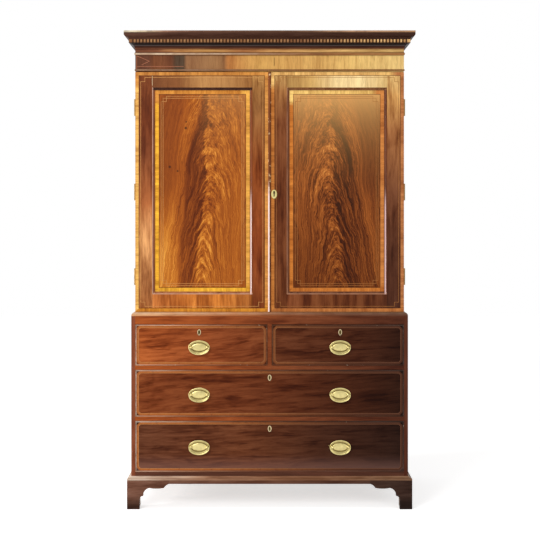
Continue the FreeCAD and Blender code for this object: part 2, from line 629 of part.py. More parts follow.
def base_carcass():
    across = ("-at.base_in", "at.base_in")
    depth = ("at.front", "at.back")
    side = box("base_side", ("at.base_in", "at.side"), depth, ("dims.foot_high", "at.base_top"))
    node("base_sides", pair("base_side", side))
    node("base_boards", [
        box("bottom_board", across, depth, ("at.floor_board", "at.deep_floor")),
        box("top_board", across, ("at.front + dims.top_rail_thick", "at.back"), (
            "at.base_top - dims.top_board", "at.base_top")),
    ])
    rail_y = ("at.front", "at.front + dims.rail_deep")
    lower = box("lower_rail_board", across, rail_y, ("at.lower_rail", "at.middle_floor"))
    upper = box("upper_rail_board", across, rail_y, ("at.upper_rail", "at.short_floor"))
    top = box("top_rail_board", across, ("at.front", "at.front + dims.top_rail_thick"), (
        "at.top_rail", "at.base_top"))
    mortices = {name: bolt_mortice(name, row[6], f"{row[2]} + {row[3]}") for name, row in DRAWERS.items()}
    node("drawer_rails", [
        cut("lower_rail_cut", lower, [mortices["bottom"]]),
        cut("upper_rail_cut", upper, [mortices["middle"]]),
        cut("top_rail_cut", top, [mortices["left_short"], mortices["right_short"]]),
        box("centre_divider", ("-dims.divider / 2", "dims.divider / 2"), rail_y, (
            "at.short_floor", "at.top_rail")),
    ])
    behind = ("at.front + dims.rail_deep", "at.base_back_in")
    runner_x = ("at.base_in - dims.runner_wide", "at.base_in")
    centre_x = ("-dims.divider / 2 - dims.runner_wide", "dims.divider / 2 + dims.runner_wide")
    kicker_y = ("at.front + dims.top_rail_thick", "at.base_back_in")
    kicker_z = ("at.top_rail", "at.base_top - dims.top_board")
    node("drawer_runners", pair("lower_runner", box(
        "lower_runner", runner_x, behind, ("at.lower_rail", "at.middle_floor")))
        + pair("upper_runner", box("upper_runner", runner_x, behind, ("at.upper_rail", "at.short_floor")))
        + pair("kicker", box("kicker", runner_x, kicker_y, kicker_z))
        + [
            box("centre_runner", centre_x, behind, ("at.upper_rail", "at.short_floor")),
            box("centre_guide", ("-dims.divider / 2", "dims.divider / 2"), behind, (
                "at.short_floor", "at.short_floor + dims.guide_high")),
            box("centre_kicker", centre_x, kicker_y, kicker_z),
        ] + drawer_stops())
    dust_z = [(f"{rail} + dims.dust_board_rise", f"{rail} + dims.dust_board_rise + dims.dust_board")
              for rail in ("at.lower_rail", "at.upper_rail")]
    upper_dust = box("upper_dust", (centre_x[1], runner_x[0]), behind, dust_z[1])
    node("dust_boards", [box("lower_dust", (f"-({runner_x[0]})", runner_x[0]), behind, dust_z[0])]
         + pair("upper_dust", upper_dust))
    third = "(2 * at.base_in / 3)"
    board_z = ("at.deep_floor", "at.base_top - dims.top_board")
    node("base_back", [box(f"back_board_{number}", (
        f"{third} * {number} - at.base_in", f"{third} * {number + 1} - at.base_in"),
        ("at.base_back_in", "at.back"), board_z) for number in range(3)])


def waist_moulding():
    section = [
        ("0", "at.base_top"),
        ("0", "at.base_top + dims.waist_high"),
        ("dims.waist_nose", "at.base_top + dims.waist_high", "dims.waist_bulge"),
        ("dims.step", "at.base_top + dims.waist_nose"),
        ("dims.step", "at.base_top"),
    ]
    node("waist_moulding", moulding("waist", section, "at.case", "at.door_face", "dims.step"))


# ---------------------------------------------------------------------------------------------------
# Cupboard carcass
# ---------------------------------------------------------------------------------------------------
HINGES = {
    "foot": "(at.door_foot + dims.hinge_inset)",
    "middle": "((at.door_foot + at.door_head - dims.hinge_long) / 2)",
    "head": "(at.door_head - dims.hinge_inset - dims.hinge_long)",
}
LEAF_IN = "(at.case - dims.hinge_leaf_wide)"
LEAF_GAP = "dims.hinge_leaf_gap / 2"
DOOR_LEAF = (f"at.hinge_y - {LEAF_GAP} - dims.hinge_leaf", f"at.hinge_y - {LEAF_GAP}")
CASE_LEAF = (f"at.hinge_y + {LEAF_GAP}", f"at.hinge_y + {LEAF_GAP} + dims.hinge_leaf")


def leaf_recesses(name, leaf):
    """The shallow recesses that the three hinge leaves of a stile or a side lie in."""
    return [box(f"{name}_recess_{key}", (LEAF_IN, "at.case + dims.hinge_leaf"), leaf, (
        foot, f"{foot} + dims.hinge_long")) for key, foot in HINGES.items()]


def case_carcass():
    across = ("-at.case_in", "at.case_in")
    side = box("case_side", ("at.case_in", "at.case"), ("at.case_front", "at.back"), (
        "at.case_floor", "at.case_top"))
    side = cut("case_side_cut", side, leaf_recesses("case_side", CASE_LEAF))
    node("case_sides", pair("case_side", side))
    floor = box("case_floor_board", ("-at.case", "at.case"), ("at.door_face", "at.back"), (
        "at.base_top", "at.case_floor"))
    node("case_boards", [
        cut("case_floor_cut", floor, [flush_bolt_mortice("foot_mortice", (
            "at.case_floor - dims.flush_bolt_throw", "at.case_floor"))]),
        box("case_top_board", across, ("at.case_front", "at.back"), ("at.case_ceiling", "at.case_top")),
    ])
    frame_y = ("at.back_in", "at.back")
    frame_z = ("at.case_floor", "at.case_ceiling")
    stile = box("back_stile_side", ("at.case_in - dims.back_stile", "at.case_in"), frame_y, frame_z)
    centre = ("-dims.back_stile / 2", "dims.back_stile / 2")
    rail_x = (centre[1], "at.case_in - dims.back_stile")
    pane = "((at.case_ceiling - at.case_floor - 3 * dims.back_stile) / 2)"
    parts = pair("back_stile_side", stile) + [box("back_stile_centre", centre, frame_y, frame_z)]
    for number in range(3):
        foot = f"(at.case_floor + {number} * (dims.back_stile + {pane}))"
        rail = box(f"back_rail_{number}", rail_x, frame_y, (foot, f"{foot} + dims.back_stile"))
        parts += pair(f"back_rail_{number}", rail)
        if number < 2:
            panel = box(f"back_panel_{number}", rail_x, ("at.back_in", "at.back_in + dims.back_panel"), (
                f"{foot} + dims.back_stile", f"{foot} + dims.back_stile + {pane}"))
            parts += pair(f"back_panel_{number}", panel)
    node("case_back", parts)


TRAYS = ("first", "second", "third", "fourth")


def tray_ledge(number):
    return f"(at.case_floor + dims.tray_first + {number} * at.tray_pitch)"


def tray_runners():
    """L-shaped runners on the cupboard sides: a ledge under each tray and a guide beside it."""
    parts = []
    for number, name in enumerate(TRAYS):
        ledge = tray_ledge(number)
        inner = "at.case_in - dims.tray_guide - dims.tray_bearing"
        guide = "at.tray_edge + dims.tray_play"
        foot = f"{ledge} - dims.ledge_thick"
        head = f"{ledge} + dims.ledge_guide_high"
        path = [(inner, foot), ("at.case_in", foot), ("at.case_in", head), (guide, head), (guide, ledge),
                (inner, ledge)]
        parts += pair(f"{name}_runner", run(f"{name}_runner", "XZ", path, ("at.tray_face", "at.back_in")))
    node("tray_runners", parts)


def tray(number, name):
    """A shallow sliding tray, its front dipped in the middle for the hand."""
    foot = f"({tray_ledge(number)} + dims.run_gap)"
    head = f"({foot} + dims.tray_high)"
    dip = f"({head} - dims.tray_scoop)"
    side_in = "(at.tray_edge - dims.tray_side)"
    rear = "(at.tray_rear - dims.tray_side)"
    inner = ("at.tray_face + dims.tray_front", rear)
    path = [("-at.tray_edge", foot), ("at.tray_edge", foot), ("at.tray_edge", head),
            ("dims.tray_scoop_half", head, "-dims.tray_scoop_ease"),
            ("dims.tray_scoop_flat", dip), ("-dims.tray_scoop_flat", dip, "-dims.tray_scoop_ease"),
            ("-dims.tray_scoop_half", head), ("-at.tray_edge", head)]
    front = run(f"{name}_tray_front", "XZ", path, ("at.tray_face", "at.tray_face + dims.tray_front"))
    side = box(f"{name}_tray_side", (side_in, "at.tray_edge"), inner, (foot, head))
    node(f"{name}_tray", [front] + pair(f"{name}_tray_side", side) + [
        box(f"{name}_tray_rear", ("-at.tray_edge", "at.tray_edge"), (rear, "at.tray_rear"), (foot, head)),
        box(f"{name}_tray_floor", (f"-{side_in}", side_in), inner, (foot, f"{foot} + dims.tray_floor")),
    ])


# ---------------------------------------------------------------------------------------------------
# Doors
# ---------------------------------------------------------------------------------------------------
GROOVE_Y = ("at.panel_face", "at.panel_rear")
LOCK_FRONT = "(at.door_back - dims.lock_deep)"
DOOR_BOLT_Y = "(at.door_back - (dims.lock_deep + dims.bolt_thick) / 2)"
FLUSH_X = "(at.meet + dims.flush_bolt_in)"
FLUSH_Y = "(at.door_back - dims.flush_plate - dims.bolt_clear - dims.flush_bolt_thick)"


def flush_bolt_mortice(name, z):
    half = "(dims.flush_bolt_wide / 2 + dims.bolt_clear)"
    return box(name, (f"-{FLUSH_X} - {half}", f"-{FLUSH_X} + {half}"), (
        f"{FLUSH_Y} - dims.bolt_clear", f"{FLUSH_Y} + dims.flush_bolt_thick + dims.bolt_clear"), z)


def rails(name):
    """The right door's two rails, with the tenons that enter the stiles."""
    parts = []
    spans = {"foot": ("at.door_foot", "at.sight_foot"), "head": ("at.sight_head", "at.door_head")}
    for key, (foot, head) in spans.items():
        rail = box(f"{name}_{key}_rail", ("at.stile_in", "at.stile_out"), ("at.door_face", "at.door_back"), (
            foot, head))
        tenons = box(f"{name}_{key}_tenons", (
            "at.stile_in - dims.tenon_long", "at.stile_out + dims.tenon_long"), GROOVE_Y, (
            f"{foot} + dims.tenon_shoulder", f"{head} - dims.tenon_shoulder"))
        groove_z = (("at.sight_foot - dims.panel_groove", "at.sight_foot") if key == "foot" else
                    ("at.sight_head", "at.sight_head + dims.panel_groove"))
        groove = box(f"{name}_{key}_groove", ("at.stile_in", "at.stile_out"), GROOVE_Y, groove_z)
        grooved = cut(f"{name}_{key}_grooved", rail, [groove])
        parts.append(fuse(f"{name}_{key}_whole", [grooved, tenons]))
    return parts


def stile_cuts(name, inner, outwards):
    """The panel groove and the mortices in a stile whose inner edge is at inner."""
    def span(distance):
        ends = (inner, f"{inner} {outwards} {distance}")
        return ends if outwards == "+" else (ends[1], ends[0])

    return [
        box(f"{name}_groove", span("dims.panel_groove"), GROOVE_Y, (
            "at.sight_foot - dims.panel_groove", "at.sight_head + dims.panel_groove")),
        box(f"{name}_foot_mortice", span("(dims.tenon_long + dims.panel_play)"), GROOVE_Y, (
            "at.door_foot + dims.tenon_shoulder", "at.sight_foot - dims.tenon_shoulder")),
        box(f"{name}_head_mortice", span("(dims.tenon_long + dims.panel_play)"), GROOVE_Y, (
            "at.sight_head + dims.tenon_shoulder", "at.door_head - dims.tenon_shoulder")),
    ]


def lock_recess_right():
    """Cuts in the right meeting stile: the lock's recess and the keyhole through to it."""
    half = "dims.lock_high / 2"
    slot = "dims.keyhole_slot / 2"
    through = ("at.door_face - dims.step", LOCK_FRONT)
    return [
        box("lock_recess", ("at.meet", "at.meet + dims.lock_wide"), (LOCK_FRONT, "at.door_back"), (
            f"at.keyhole_z - {half}", f"at.keyhole_z + {half}")),
        rod("keyhole_round", "y", ("at.keyhole_x", through[0], "at.keyhole_z"),
            f"({through[1]}) - ({through[0]})", "dims.keyhole_radius"),
        box("keyhole_slot_cut", (f"at.keyhole_x - {slot}", f"at.keyhole_x + {slot}"), through, (
            "at.keyhole_z - dims.keyhole_drop", "at.keyhole_z")),
    ]


def flush_bolt_cuts():
    """Cuts in the left meeting stile: two channels for the flush bolts, two recesses for their plates and
    the mortice for the right door's lock bolt."""
    plate_x = (f"-{FLUSH_X} - dims.flush_plate_wide / 2", f"-{FLUSH_X} + dims.flush_plate_wide / 2")
    plate_y = ("at.door_back - dims.flush_plate", "at.door_back")
    channel = "(dims.flush_plate_long - dims.flush_plate_wide / 2)"
    bolt = "(dims.bolt_high / 2 + dims.bolt_clear)"
    return [
        flush_bolt_mortice("foot_channel", ("at.door_foot", f"at.door_foot + {channel}")),
        flush_bolt_mortice("head_channel", (f"at.door_head - {channel}", "at.door_head")),
        box("foot_plate_recess", plate_x, plate_y, ("at.door_foot", "at.door_foot + dims.flush_plate_long")),
        box("head_plate_recess", plate_x, plate_y, ("at.door_head - dims.flush_plate_long", "at.door_head")),
        box("lock_mortice", ("-at.meet - dims.bolt_throw - dims.bolt_clear", "-at.meet"), (
            f"{DOOR_BOLT_Y} - dims.bolt_clear", f"{DOOR_BOLT_Y} + dims.bolt_thick + dims.bolt_clear"),
            (f"at.keyhole_z - {bolt}", f"at.keyhole_z + {bolt}")),
    ]


def door_moulding(name):
    section = [
        ("0", "at.panel_face"),
        ("dims.door_mould", "at.panel_face"),
        ("dims.door_mould", "at.panel_face - dims.door_mould_lip", "-dims.door_mould_lip"),
        ("dims.door_mould_lip", "at.door_face"),
        ("0", "at.door_face"),
    ]
    return mitred_frame(name, "at.stile_in", "at.stile_out", "at.sight_foot", "at.sight_head", section,
                        "dims.door_mould")


def doors():
    depth = ("at.door_face", "at.door_back")
    height = ("at.door_foot", "at.door_head")
    hinge_stile = box("hinge_stile", ("at.stile_out", "at.case"), depth, height)
    hinge_stile = cut("hinge_stile_cut", hinge_stile, stile_cuts("hinge_stile", "at.stile_out", "+")
                      + leaf_recesses("hinge_stile", DOOR_LEAF))
    meeting = box("meeting_stile", ("at.meet", "at.stile_in"), depth, height)
    meeting = cut("meeting_stile_cut", meeting, stile_cuts("meeting_stile", "at.stile_in", "-"))
    right_meeting = cut("right_meeting_stile", meeting, lock_recess_right())
    left_meeting = cut("left_meeting_stile", mirror("meeting_stile_left", meeting), flush_bolt_cuts())
    right_rails = rails("door")
    left_rails = [mirror(f"left_rail_{number}", rail) for number, rail in enumerate(right_rails)]
    node("right_door_frame", [hinge_stile, right_meeting] + right_rails)
    node("left_door_frame", [mirror("hinge_stile_left", hinge_stile), left_meeting] + left_rails)
    into = "(dims.panel_groove - dims.panel_play)"
    panel = box("door_panel", (f"at.stile_in - {into}", f"at.stile_out + {into}"), GROOVE_Y, (
        f"at.sight_foot - {into}", f"at.sight_head + {into}"))
    node("right_door_panel", [panel])
    node("left_door_panel", [mirror("door_panel_left", panel)])
    mouldings = door_moulding("door_mould")
    node("right_door_moulding", mouldings)
    node("left_door_moulding", [mirror(f"door_mould_left_{number}", piece)
                                for number, piece in enumerate(mouldings)])
    half = "dims.bead_wide / 2"
    clear = "at.door_face - dims.bead_clear"
    bead = run("closing_bead_length", "XY", [
        ("at.meet", "at.door_face"), ("at.meet", clear),
        (f"-{half}", clear, "dims.bead_stand - dims.bead_clear"), (half, "at.door_face")], height)
    node("closing_bead", [bead])


CASE_KNUCKLES = (0, 2)
DOOR_KNUCKLES = (1,)
KNUCKLE_PITCH = f"(dims.hinge_long / {len(CASE_KNUCKLES + DOOR_KNUCKLES)})"


def hinge_leaf(name, foot, leaf, segments):
    """A leaf let into the wood, with the knuckles that it owns."""
    ends = [(f"{foot} + {segment} * {KNUCKLE_PITCH}",
             f"{foot} + {segment + 1} * {KNUCKLE_PITCH} - dims.knuckle_gap") for segment in segments]
    edge = "at.case - dims.knuckle_gap"
    plate = box(f"{name}_plate", (LEAF_IN, edge), leaf, (foot, f"{foot} + dims.hinge_long"))
    roots = [box(f"{name}_root_{number}", (edge, "at.hinge_x"), leaf, span)
             for number, span in enumerate(ends)]
    knuckles = [bar(f"{name}_knuckle_{number}", "z", ("at.hinge_x", "at.hinge_y", low), f"{high} - ({low})",
                    "dims.knuckle_radius") for number, (low, high) in enumerate(ends)]
    return [plate] + roots + knuckles


def hinges():
    """Six butt hinges. A pin is riveted into the knuckles of its case leaf and is one solid with them."""
    case_parts = []
    door_parts = []
    for key, foot in HINGES.items():
        axis = ("at.hinge_x", "at.hinge_y", foot)
        pin = rod(f"pin_{key}", "z", axis, "dims.hinge_long - dims.knuckle_gap", "dims.pin_radius")
        name = f"case_leaf_{key}"
        case_leaf = fuse(name, hinge_leaf(f"{name}_piece", foot, CASE_LEAF, CASE_KNUCKLES) + [pin])
        case_parts += pair(name, case_leaf)
        name = f"door_leaf_{key}"
        bore = bar(f"{name}_bore", "z", axis, "dims.hinge_long", "dims.pin_radius + dims.pin_clear")
        whole = fuse(f"{name}_whole", hinge_leaf(f"{name}_piece", foot, DOOR_LEAF, DOOR_KNUCKLES))
        door_parts.append(cut(name, whole, [bore]))
    node("case_hinges", case_parts)
    node("right_door_hinges", door_parts)
    return [mirror(f"{leaf.Name}_left", leaf) for leaf in door_parts]


def door_lock():
    half = "dims.lock_high / 2"
    body = box("lock_case", ("at.meet", "at.meet + dims.lock_wide"), (LOCK_FRONT, "at.door_back"), (
        f"at.keyhole_z - {half}", f"at.keyhole_z + {half}"))
    bolt_half = "(dims.bolt_high / 2)"
    bolt_end = "(at.meet + dims.bolt_long)"
    space = box("lock_space", ("at.meet", f"{bolt_end} + dims.bolt_clear"), (
        f"{DOOR_BOLT_Y} - dims.bolt_clear", f"{DOOR_BOLT_Y} + dims.bolt_thick + dims.bolt_clear"), (
        f"at.keyhole_z - {bolt_half} - dims.bolt_clear", f"at.keyhole_z + {bolt_half} + dims.bolt_clear"))
    plate = oval("door_escutcheon_plate", "at.keyhole_x", "at.keyhole_z - dims.keyhole_radius",
                 "at.door_face", "dims.escutcheon_thick", "dims.escutcheon_wide", "dims.escutcheon_high")
    slot = "dims.keyhole_slot / 2"
    deep = ("at.door_face - dims.step", "at.door_face + dims.step")
    keyhole = [
        rod("plate_keyhole_round", "y", ("at.keyhole_x", deep[0], "at.keyhole_z"), "2 * dims.step",
            "dims.keyhole_radius"),
        box("plate_keyhole_slot", (f"at.keyhole_x - {slot}", f"at.keyhole_x + {slot}"), deep, (
            "at.keyhole_z - dims.keyhole_drop", "at.keyhole_z")),
    ]
    node("right_door_lock", [cut("lock_case_cut", body, [space]),
                             cut("door_escutcheon", plate, keyhole)])
    node("right_door_bolt", [box("lock_bolt", ("at.meet", bolt_end), (
        DOOR_BOLT_Y, f"{DOOR_BOLT_Y} + dims.bolt_thick"),
        (f"at.keyhole_z - {bolt_half}", f"at.keyhole_z + {bolt_half}"))])


def flush_bolts():
    """Two bolts let into the back of the left door, one at its foot and one at its head."""
    half = "dims.flush_bolt_wide / 2"
    plate_half = "dims.flush_plate_wide / 2"
    stud = "dims.flush_bolt_long - 3 * dims.thumb_radius"
    slot_half = "(dims.thumb_radius + dims.bolt_clear)"
    plates = []
    for key, outwards, edge in (("foot", "-", "at.door_foot"), ("head", "+", "at.door_head")):
        inwards = "+" if outwards == "-" else "-"

        def span(near, far):
            ends = (f"{edge} {inwards} ({near})", f"{edge} {inwards} ({far})")
            return ends if inwards == "+" else (ends[1], ends[0])

        plate = box(f"{key}_plate", (f"-{FLUSH_X} - {plate_half}", f"-{FLUSH_X} + {plate_half}"), (
            "at.door_back - dims.flush_plate", "at.door_back"), span("0", "dims.flush_plate_long"))
        slot = box(f"{key}_slot", (f"-{FLUSH_X} - {slot_half}", f"-{FLUSH_X} + {slot_half}"), (
            "at.door_back - dims.flush_plate", "at.door_back"), span(
            f"{stud} - dims.flush_bolt_throw - {slot_half}", f"{stud} + {slot_half}"))
        plates.append(cut(f"{key}_bolt_plate", plate, [slot]))
        bolt = box(f"{key}_bar", (f"-{FLUSH_X} - {half}", f"-{FLUSH_X} + {half}"), (
            FLUSH_Y, f"{FLUSH_Y} + dims.flush_bolt_thick"), span("0", "dims.flush_bolt_long"))
        thumb = rod(f"{key}_thumb", "y", (f"-{FLUSH_X}", FLUSH_Y, f"{edge} {inwards} ({stud})"),
                    "dims.flush_bolt_thick + dims.bolt_clear + dims.flush_plate + dims.thumb_stand",
                    "dims.thumb_radius")
        node(f"left_door_{key}_bolt", [fuse(f"{key}_bolt", [bolt, thumb])])
    return plates


# ---------------------------------------------------------------------------------------------------
# Drawers
# ---------------------------------------------------------------------------------------------------
# Short flats in place of an oval's curve, on the small brasses that repeat
BAIL_FLATS = 12


def thread_outline(middle, centre, wide, high):
    """An upright slot in the XZ plane, its ends cut to half an octagon."""
    half = f"({wide}) / 2"
    bevel = f"(({wide}) * (1 - sqrt(2) / 2))"
    return [(f"({middle}) {side} ({across})", f"({centre}) {way} ({up})") for side, way, across, up in (
        ("-", "-", half, f"({high}) / 2 - {bevel}"), ("-", "-", f"{half} - {bevel}", f"({high}) / 2"),
        ("+", "-", f"{half} - {bevel}", f"({high}) / 2"), ("+", "-", half, f"({high}) / 2 - {bevel}"),
        ("+", "+", half, f"({high}) / 2 - {bevel}"), ("+", "+", f"{half} - {bevel}", f"({high}) / 2"),
        ("-", "+", f"{half} - {bevel}", f"({high}) / 2"), ("-", "+", half, f"({high}) / 2 - {bevel}"))]


def handle_parts(name, x, z):
    """One handle's back plate with its two posts and their nuts, and the holes that its shanks need."""
    pieces = [
        oval(f"{name}_plate", x, z, "at.front", "dims.plate_thick", "dims.plate_wide", "dims.plate_high"),
        oval(f"{name}_boss", x, z, "at.front", "dims.plate_thick + dims.boss_stand", "dims.boss_wide",
             "dims.boss_high"),
    ]
    rear_face = "(at.front + dims.drawer_front)"
    nut_rear = f"({rear_face} + dims.nut_thick)"
    head_front = "(at.front - dims.pivot_out - dims.post_head_long / 2)"
    head_rear = "(at.front - dims.pivot_out + dims.post_head_long / 2)"
    bores = []
    holes = []
    for number, post_x in enumerate((f"({x}) - dims.post_half", f"({x}) + dims.post_half")):
        def along(part, front, rear, radius, sides=8):
            start = (post_x, front, z)
            return bar(f"{name}_{part}_{number}", "y", start, f"{rear} - {front}", radius, sides)

        nut = box(f"{name}_nut_{number}", (f"{post_x} - dims.nut_wide / 2", f"{post_x} + dims.nut_wide / 2"),
                  (rear_face, nut_rear), (f"{z} - dims.nut_wide / 2", f"{z} + dims.nut_wide / 2"))
        pieces += [
            along("head", head_front, head_rear, "dims.post_head", 12),
            along("neck", head_rear, "at.front", "dims.post_radius"),
            along("shank", "at.front", rear_face, "dims.shank_radius"),
            nut,
        ]
        bores.append(bar(f"{name}_bore_{number}", "x", (
            f"{post_x} - 2 * dims.post_head", "at.front - dims.pivot_out", z), "4 * dims.post_head",
            "dims.bail_pin + dims.bail_pin_clear", 8))
        holes.append(along("hole", "at.front", rear_face, "dims.shank_radius + dims.shank_clear"))
    return cut(name, fuse(f"{name}_whole", pieces), bores), holes


def bail(name, x, z):
    """A swinging handle: short legs, a half-oval bow that swells to its middle and a pin at each end."""
    knee = f"{z} - dims.bail_leg"

    def bow(half, drop):
        """The bow's corners from the left knee to the right one."""
        turns = [f"({turn} * 180 / {BAIL_FLATS})" for turn in range(BAIL_FLATS + 1)]
        return [(f"({x}) - ({half}) * cos{turn}", f"{knee} - (({drop}) - dims.bail_leg) * sin{turn}")
                for turn in turns]

    outer_half = "(dims.bail_half + dims.bail_end / 2)"
    inner_half = "(dims.bail_half - dims.bail_end / 2)"
    outer = bow(outer_half, "dims.bail_drop + dims.bail_swell / 2")
    inner = bow(inner_half, "dims.bail_drop - dims.bail_swell / 2")
    head = f"{z} + dims.bail_end / 2"
    path = ([(f"({x}) - {outer_half}", head)] + outer + [(f"({x}) + {outer_half}", head)]
            + [(f"({x}) + {inner_half}", head)] + inner[::-1] + [(f"({x}) - {inner_half}", head)])
    pivot_y = "(at.front - dims.pivot_out)"
    body = run(f"{name}_bow", "XZ", path, (
        f"{pivot_y} - dims.bail_thick / 2", f"{pivot_y} + dims.bail_thick / 2"))
    pin_length = "(dims.bail_half - dims.post_half + dims.post_head)"
    pins = [
        rod(f"{name}_pin_left", "x", (f"({x}) - dims.bail_half", pivot_y, z), pin_length, "dims.bail_pin"),
        rod(f"{name}_pin_right", "x", (f"({x}) + dims.bail_half - {pin_length}", pivot_y, z), pin_length,
            "dims.bail_pin"),
    ]
    node(name, [fuse(f"{name}_whole", [body] + pins)])


def drawer(name, left, right, floor, height, handle_rise, handle_places, key_x):
    """A drawer: its front with cock beads, its box, its brasses and lock, its bolt and its bails."""
    head = f"({floor} + {height})"
    face = "at.front"
    front_rear = "(at.front + dims.drawer_front)"
    gap = "dims.drawer_gap"
    x = (f"({left}) + {gap}", f"({right}) - {gap}")
    z = (f"{floor} + {gap}", f"{head} - {gap}")
    bead = "dims.cock_bead"
    bead_rear = "at.front + dims.cock_bead_deep"
    board = fuse(f"{name}_front_board", [
        box(f"{name}_front_face", (f"{x[0]} + {bead}", f"{x[1]} - {bead}"), (face, bead_rear), (
            f"{z[0]} + {bead}", f"{z[1]} - {bead}")),
        box(f"{name}_front_core", x, (bead_rear, front_rear), z),
    ])
    key_z = f"({head} - dims.key_from_top)"
    outer = thread_outline(key_x, key_z, "dims.thread_wide", "dims.thread_high")
    inner = thread_outline(key_x, key_z, "dims.thread_wide - 2 * dims.thread_wall",
                           "dims.thread_high - 2 * dims.thread_wall")
    thread = run(f"{name}_thread_out", "XZ", outer, (face, "at.front + dims.thread_deep"))
    keyway = run(f"{name}_thread_in", "XZ", inner, (face, front_rear))
    lock_x = (f"({key_x}) - dims.drawer_lock_wide / 2", f"({key_x}) + dims.drawer_lock_wide / 2")
    lock_z = (f"{z[1]} - dims.drawer_lock_high", z[1])
    lock_y = ("at.front + dims.drawer_front - dims.drawer_lock_deep", front_rear)
    recess = box(f"{name}_lock_recess", lock_x, lock_y, lock_z)
    handle_z = f"({floor} + {handle_rise})"
    brasses = []
    holes = []
    for number, handle_x in enumerate(handle_places):
        label = f"{name}_handle_{number + 1}"
        handle, bores = handle_parts(label, handle_x, handle_z)
        brasses.append(handle)
        holes += bores
        side = "" if len(handle_places) == 1 else ("_left", "_right")[number]
        bail(f"{name}{side}_bail", handle_x, handle_z)
    shoulder = "at.front - dims.cock_bead_stand + dims.cock_bead_crown"
    section = [("0", bead_rear), (bead, bead_rear), (bead, shoulder, "-dims.cock_bead_crown"),
               ("0", shoulder)]
    beads = mitred_frame(f"{name}_bead", x[0], x[1], z[0], z[1], section, bead)
    front = cut(f"{name}_front_cut", board, [thread, keyway, recess] + holes)
    node(f"{name}_drawer_front", [front] + beads)
    bolt_half = "dims.drawer_bolt_wide / 2"
    bolt_y = (BOLT_FRONT, f"{BOLT_FRONT} + dims.bolt_thick")
    clear = "dims.bolt_clear"
    bolt_x = (f"({key_x}) - {bolt_half}", f"({key_x}) + {bolt_half}")
    space = box(f"{name}_lock_space", (f"{bolt_x[0]} - {clear}", f"{bolt_x[1]} + {clear}"), (
        f"{bolt_y[0]} - {clear}", f"{bolt_y[1]} + {clear}"), (
        f"{z[1]} - dims.drawer_bolt_long - {clear}", z[1]))
    lock = cut(f"{name}_lock", box(f"{name}_lock_case", lock_x, lock_y, lock_z), [space])
    ring = cut(f"{name}_thread", thread, [keyway])
    node(f"{name}_drawer_brasses", brasses + [ring, lock])
    node(f"{name}_drawer_bolt", [box(f"{name}_bolt", bolt_x, bolt_y, (
        f"{z[1]} - dims.drawer_bolt_long", z[1]))])
    foot = f"({floor} + dims.run_gap)"
    side_head = f"{head} - dims.drawer_side_drop"
    rear = "at.drawer_rear"
    depth = (front_rear, rear)
    thick = "dims.drawer_side"
    bottom_foot = f"({foot} + dims.drawer_bottom_rise)"
    bottom_z = (bottom_foot, f"{bottom_foot} + dims.drawer_bottom")
    side_x = (f"{x[0]} + {thick}", f"{x[1]} - {thick}")
    node(f"{name}_drawer_box", [
        box(f"{name}_left_side", (x[0], side_x[0]), depth, (foot, side_head)),
        box(f"{name}_right_side", (side_x[1], x[1]), depth, (foot, side_head)),
        box(f"{name}_rear", side_x, (f"{rear} - {thick}", rear), (bottom_z[1], side_head)),
        box(f"{name}_floor", side_x, depth, bottom_z),
    ])


# ---------------------------------------------------------------------------------------------------
# Frieze and cornice
# ---------------------------------------------------------------------------------------------------
def frieze():
    z = ("at.case_top", "at.crown + dims.crown_high")
    inner = ("at.door_face + dims.frieze_board", "at.back")
    front = box("frieze_front", ("-at.case", "at.case"), ("at.door_face", inner[0]), z)
    front = cut("frieze_front_cut", front, [flush_bolt_mortice("head_mortice", (
        "at.case_top", "at.case_top + dims.flush_bolt_throw"))])
    side = box("frieze_side", ("at.case - dims.frieze_board", "at.case"), inner, z)
    across = ("-at.case + dims.frieze_board", "at.case - dims.frieze_board")
    rear = box("frieze_rear", across, ("at.back - dims.frieze_board", "at.back"), z)
    cover = box("cornice_dust_board", ("-at.case", "at.case"), ("at.door_face", "at.back"), (
        z[1], f"{z[1]} + dims.frieze_top_board"))
    node("frieze_boards", [front, rear, cover] + pair("frieze_side", side))

    def round_moulding(name, foot, high, reach):
        """A moulding with narrow square edges and a round front between them."""
        head = f"{foot} + {high}"
        lip = "dims.round_lip"
        section = [("0", foot), ("0", head), (lip, head, f"{reach} - {lip}"), (lip, foot)]
        return moulding(name, section, "at.case", "at.door_face", reach)

    bead = round_moulding("frieze_bead", "at.frieze_bead", "dims.frieze_bead_high", "dims.frieze_bead_reach")
    astragal = round_moulding("astragal", "at.astragal", "dims.astragal_high", "dims.astragal_reach")
    node("frieze_beads", bead + astragal)


def cornice():
    """The cove with the board behind the dentils, and the crown moulding with its square fillet."""
    cove = [
        ("0", "at.cove"),
        ("0", "at.crown"),
        ("dims.dentil_back_reach", "at.crown"),
        ("dims.dentil_back_reach", "at.dentils"),
        ("dims.dentil_reach - dims.cove_foot", "at.dentils", "-dims.cove_hollow"),
        ("dims.cove_foot", "at.cove"),
    ]
    crown = [
        ("0", "at.crown"),
        ("0", "at.top"),
        ("dims.cornice_reach", "at.top"),
        ("dims.cornice_reach", "at.fillet", "dims.crown_curve"),
        ("(dims.cornice_reach + dims.dentil_reach) / 2", "(at.fillet + at.crown) / 2", "-dims.crown_curve"),
        ("dims.dentil_reach", "at.crown"),
    ]
    node("cornice_cove", moulding("cove", cove, "at.case", "at.door_face", "dims.dentil_reach"))
    node("cornice_crown", moulding("crown", crown, "at.case", "at.door_face", "dims.cornice_reach"))


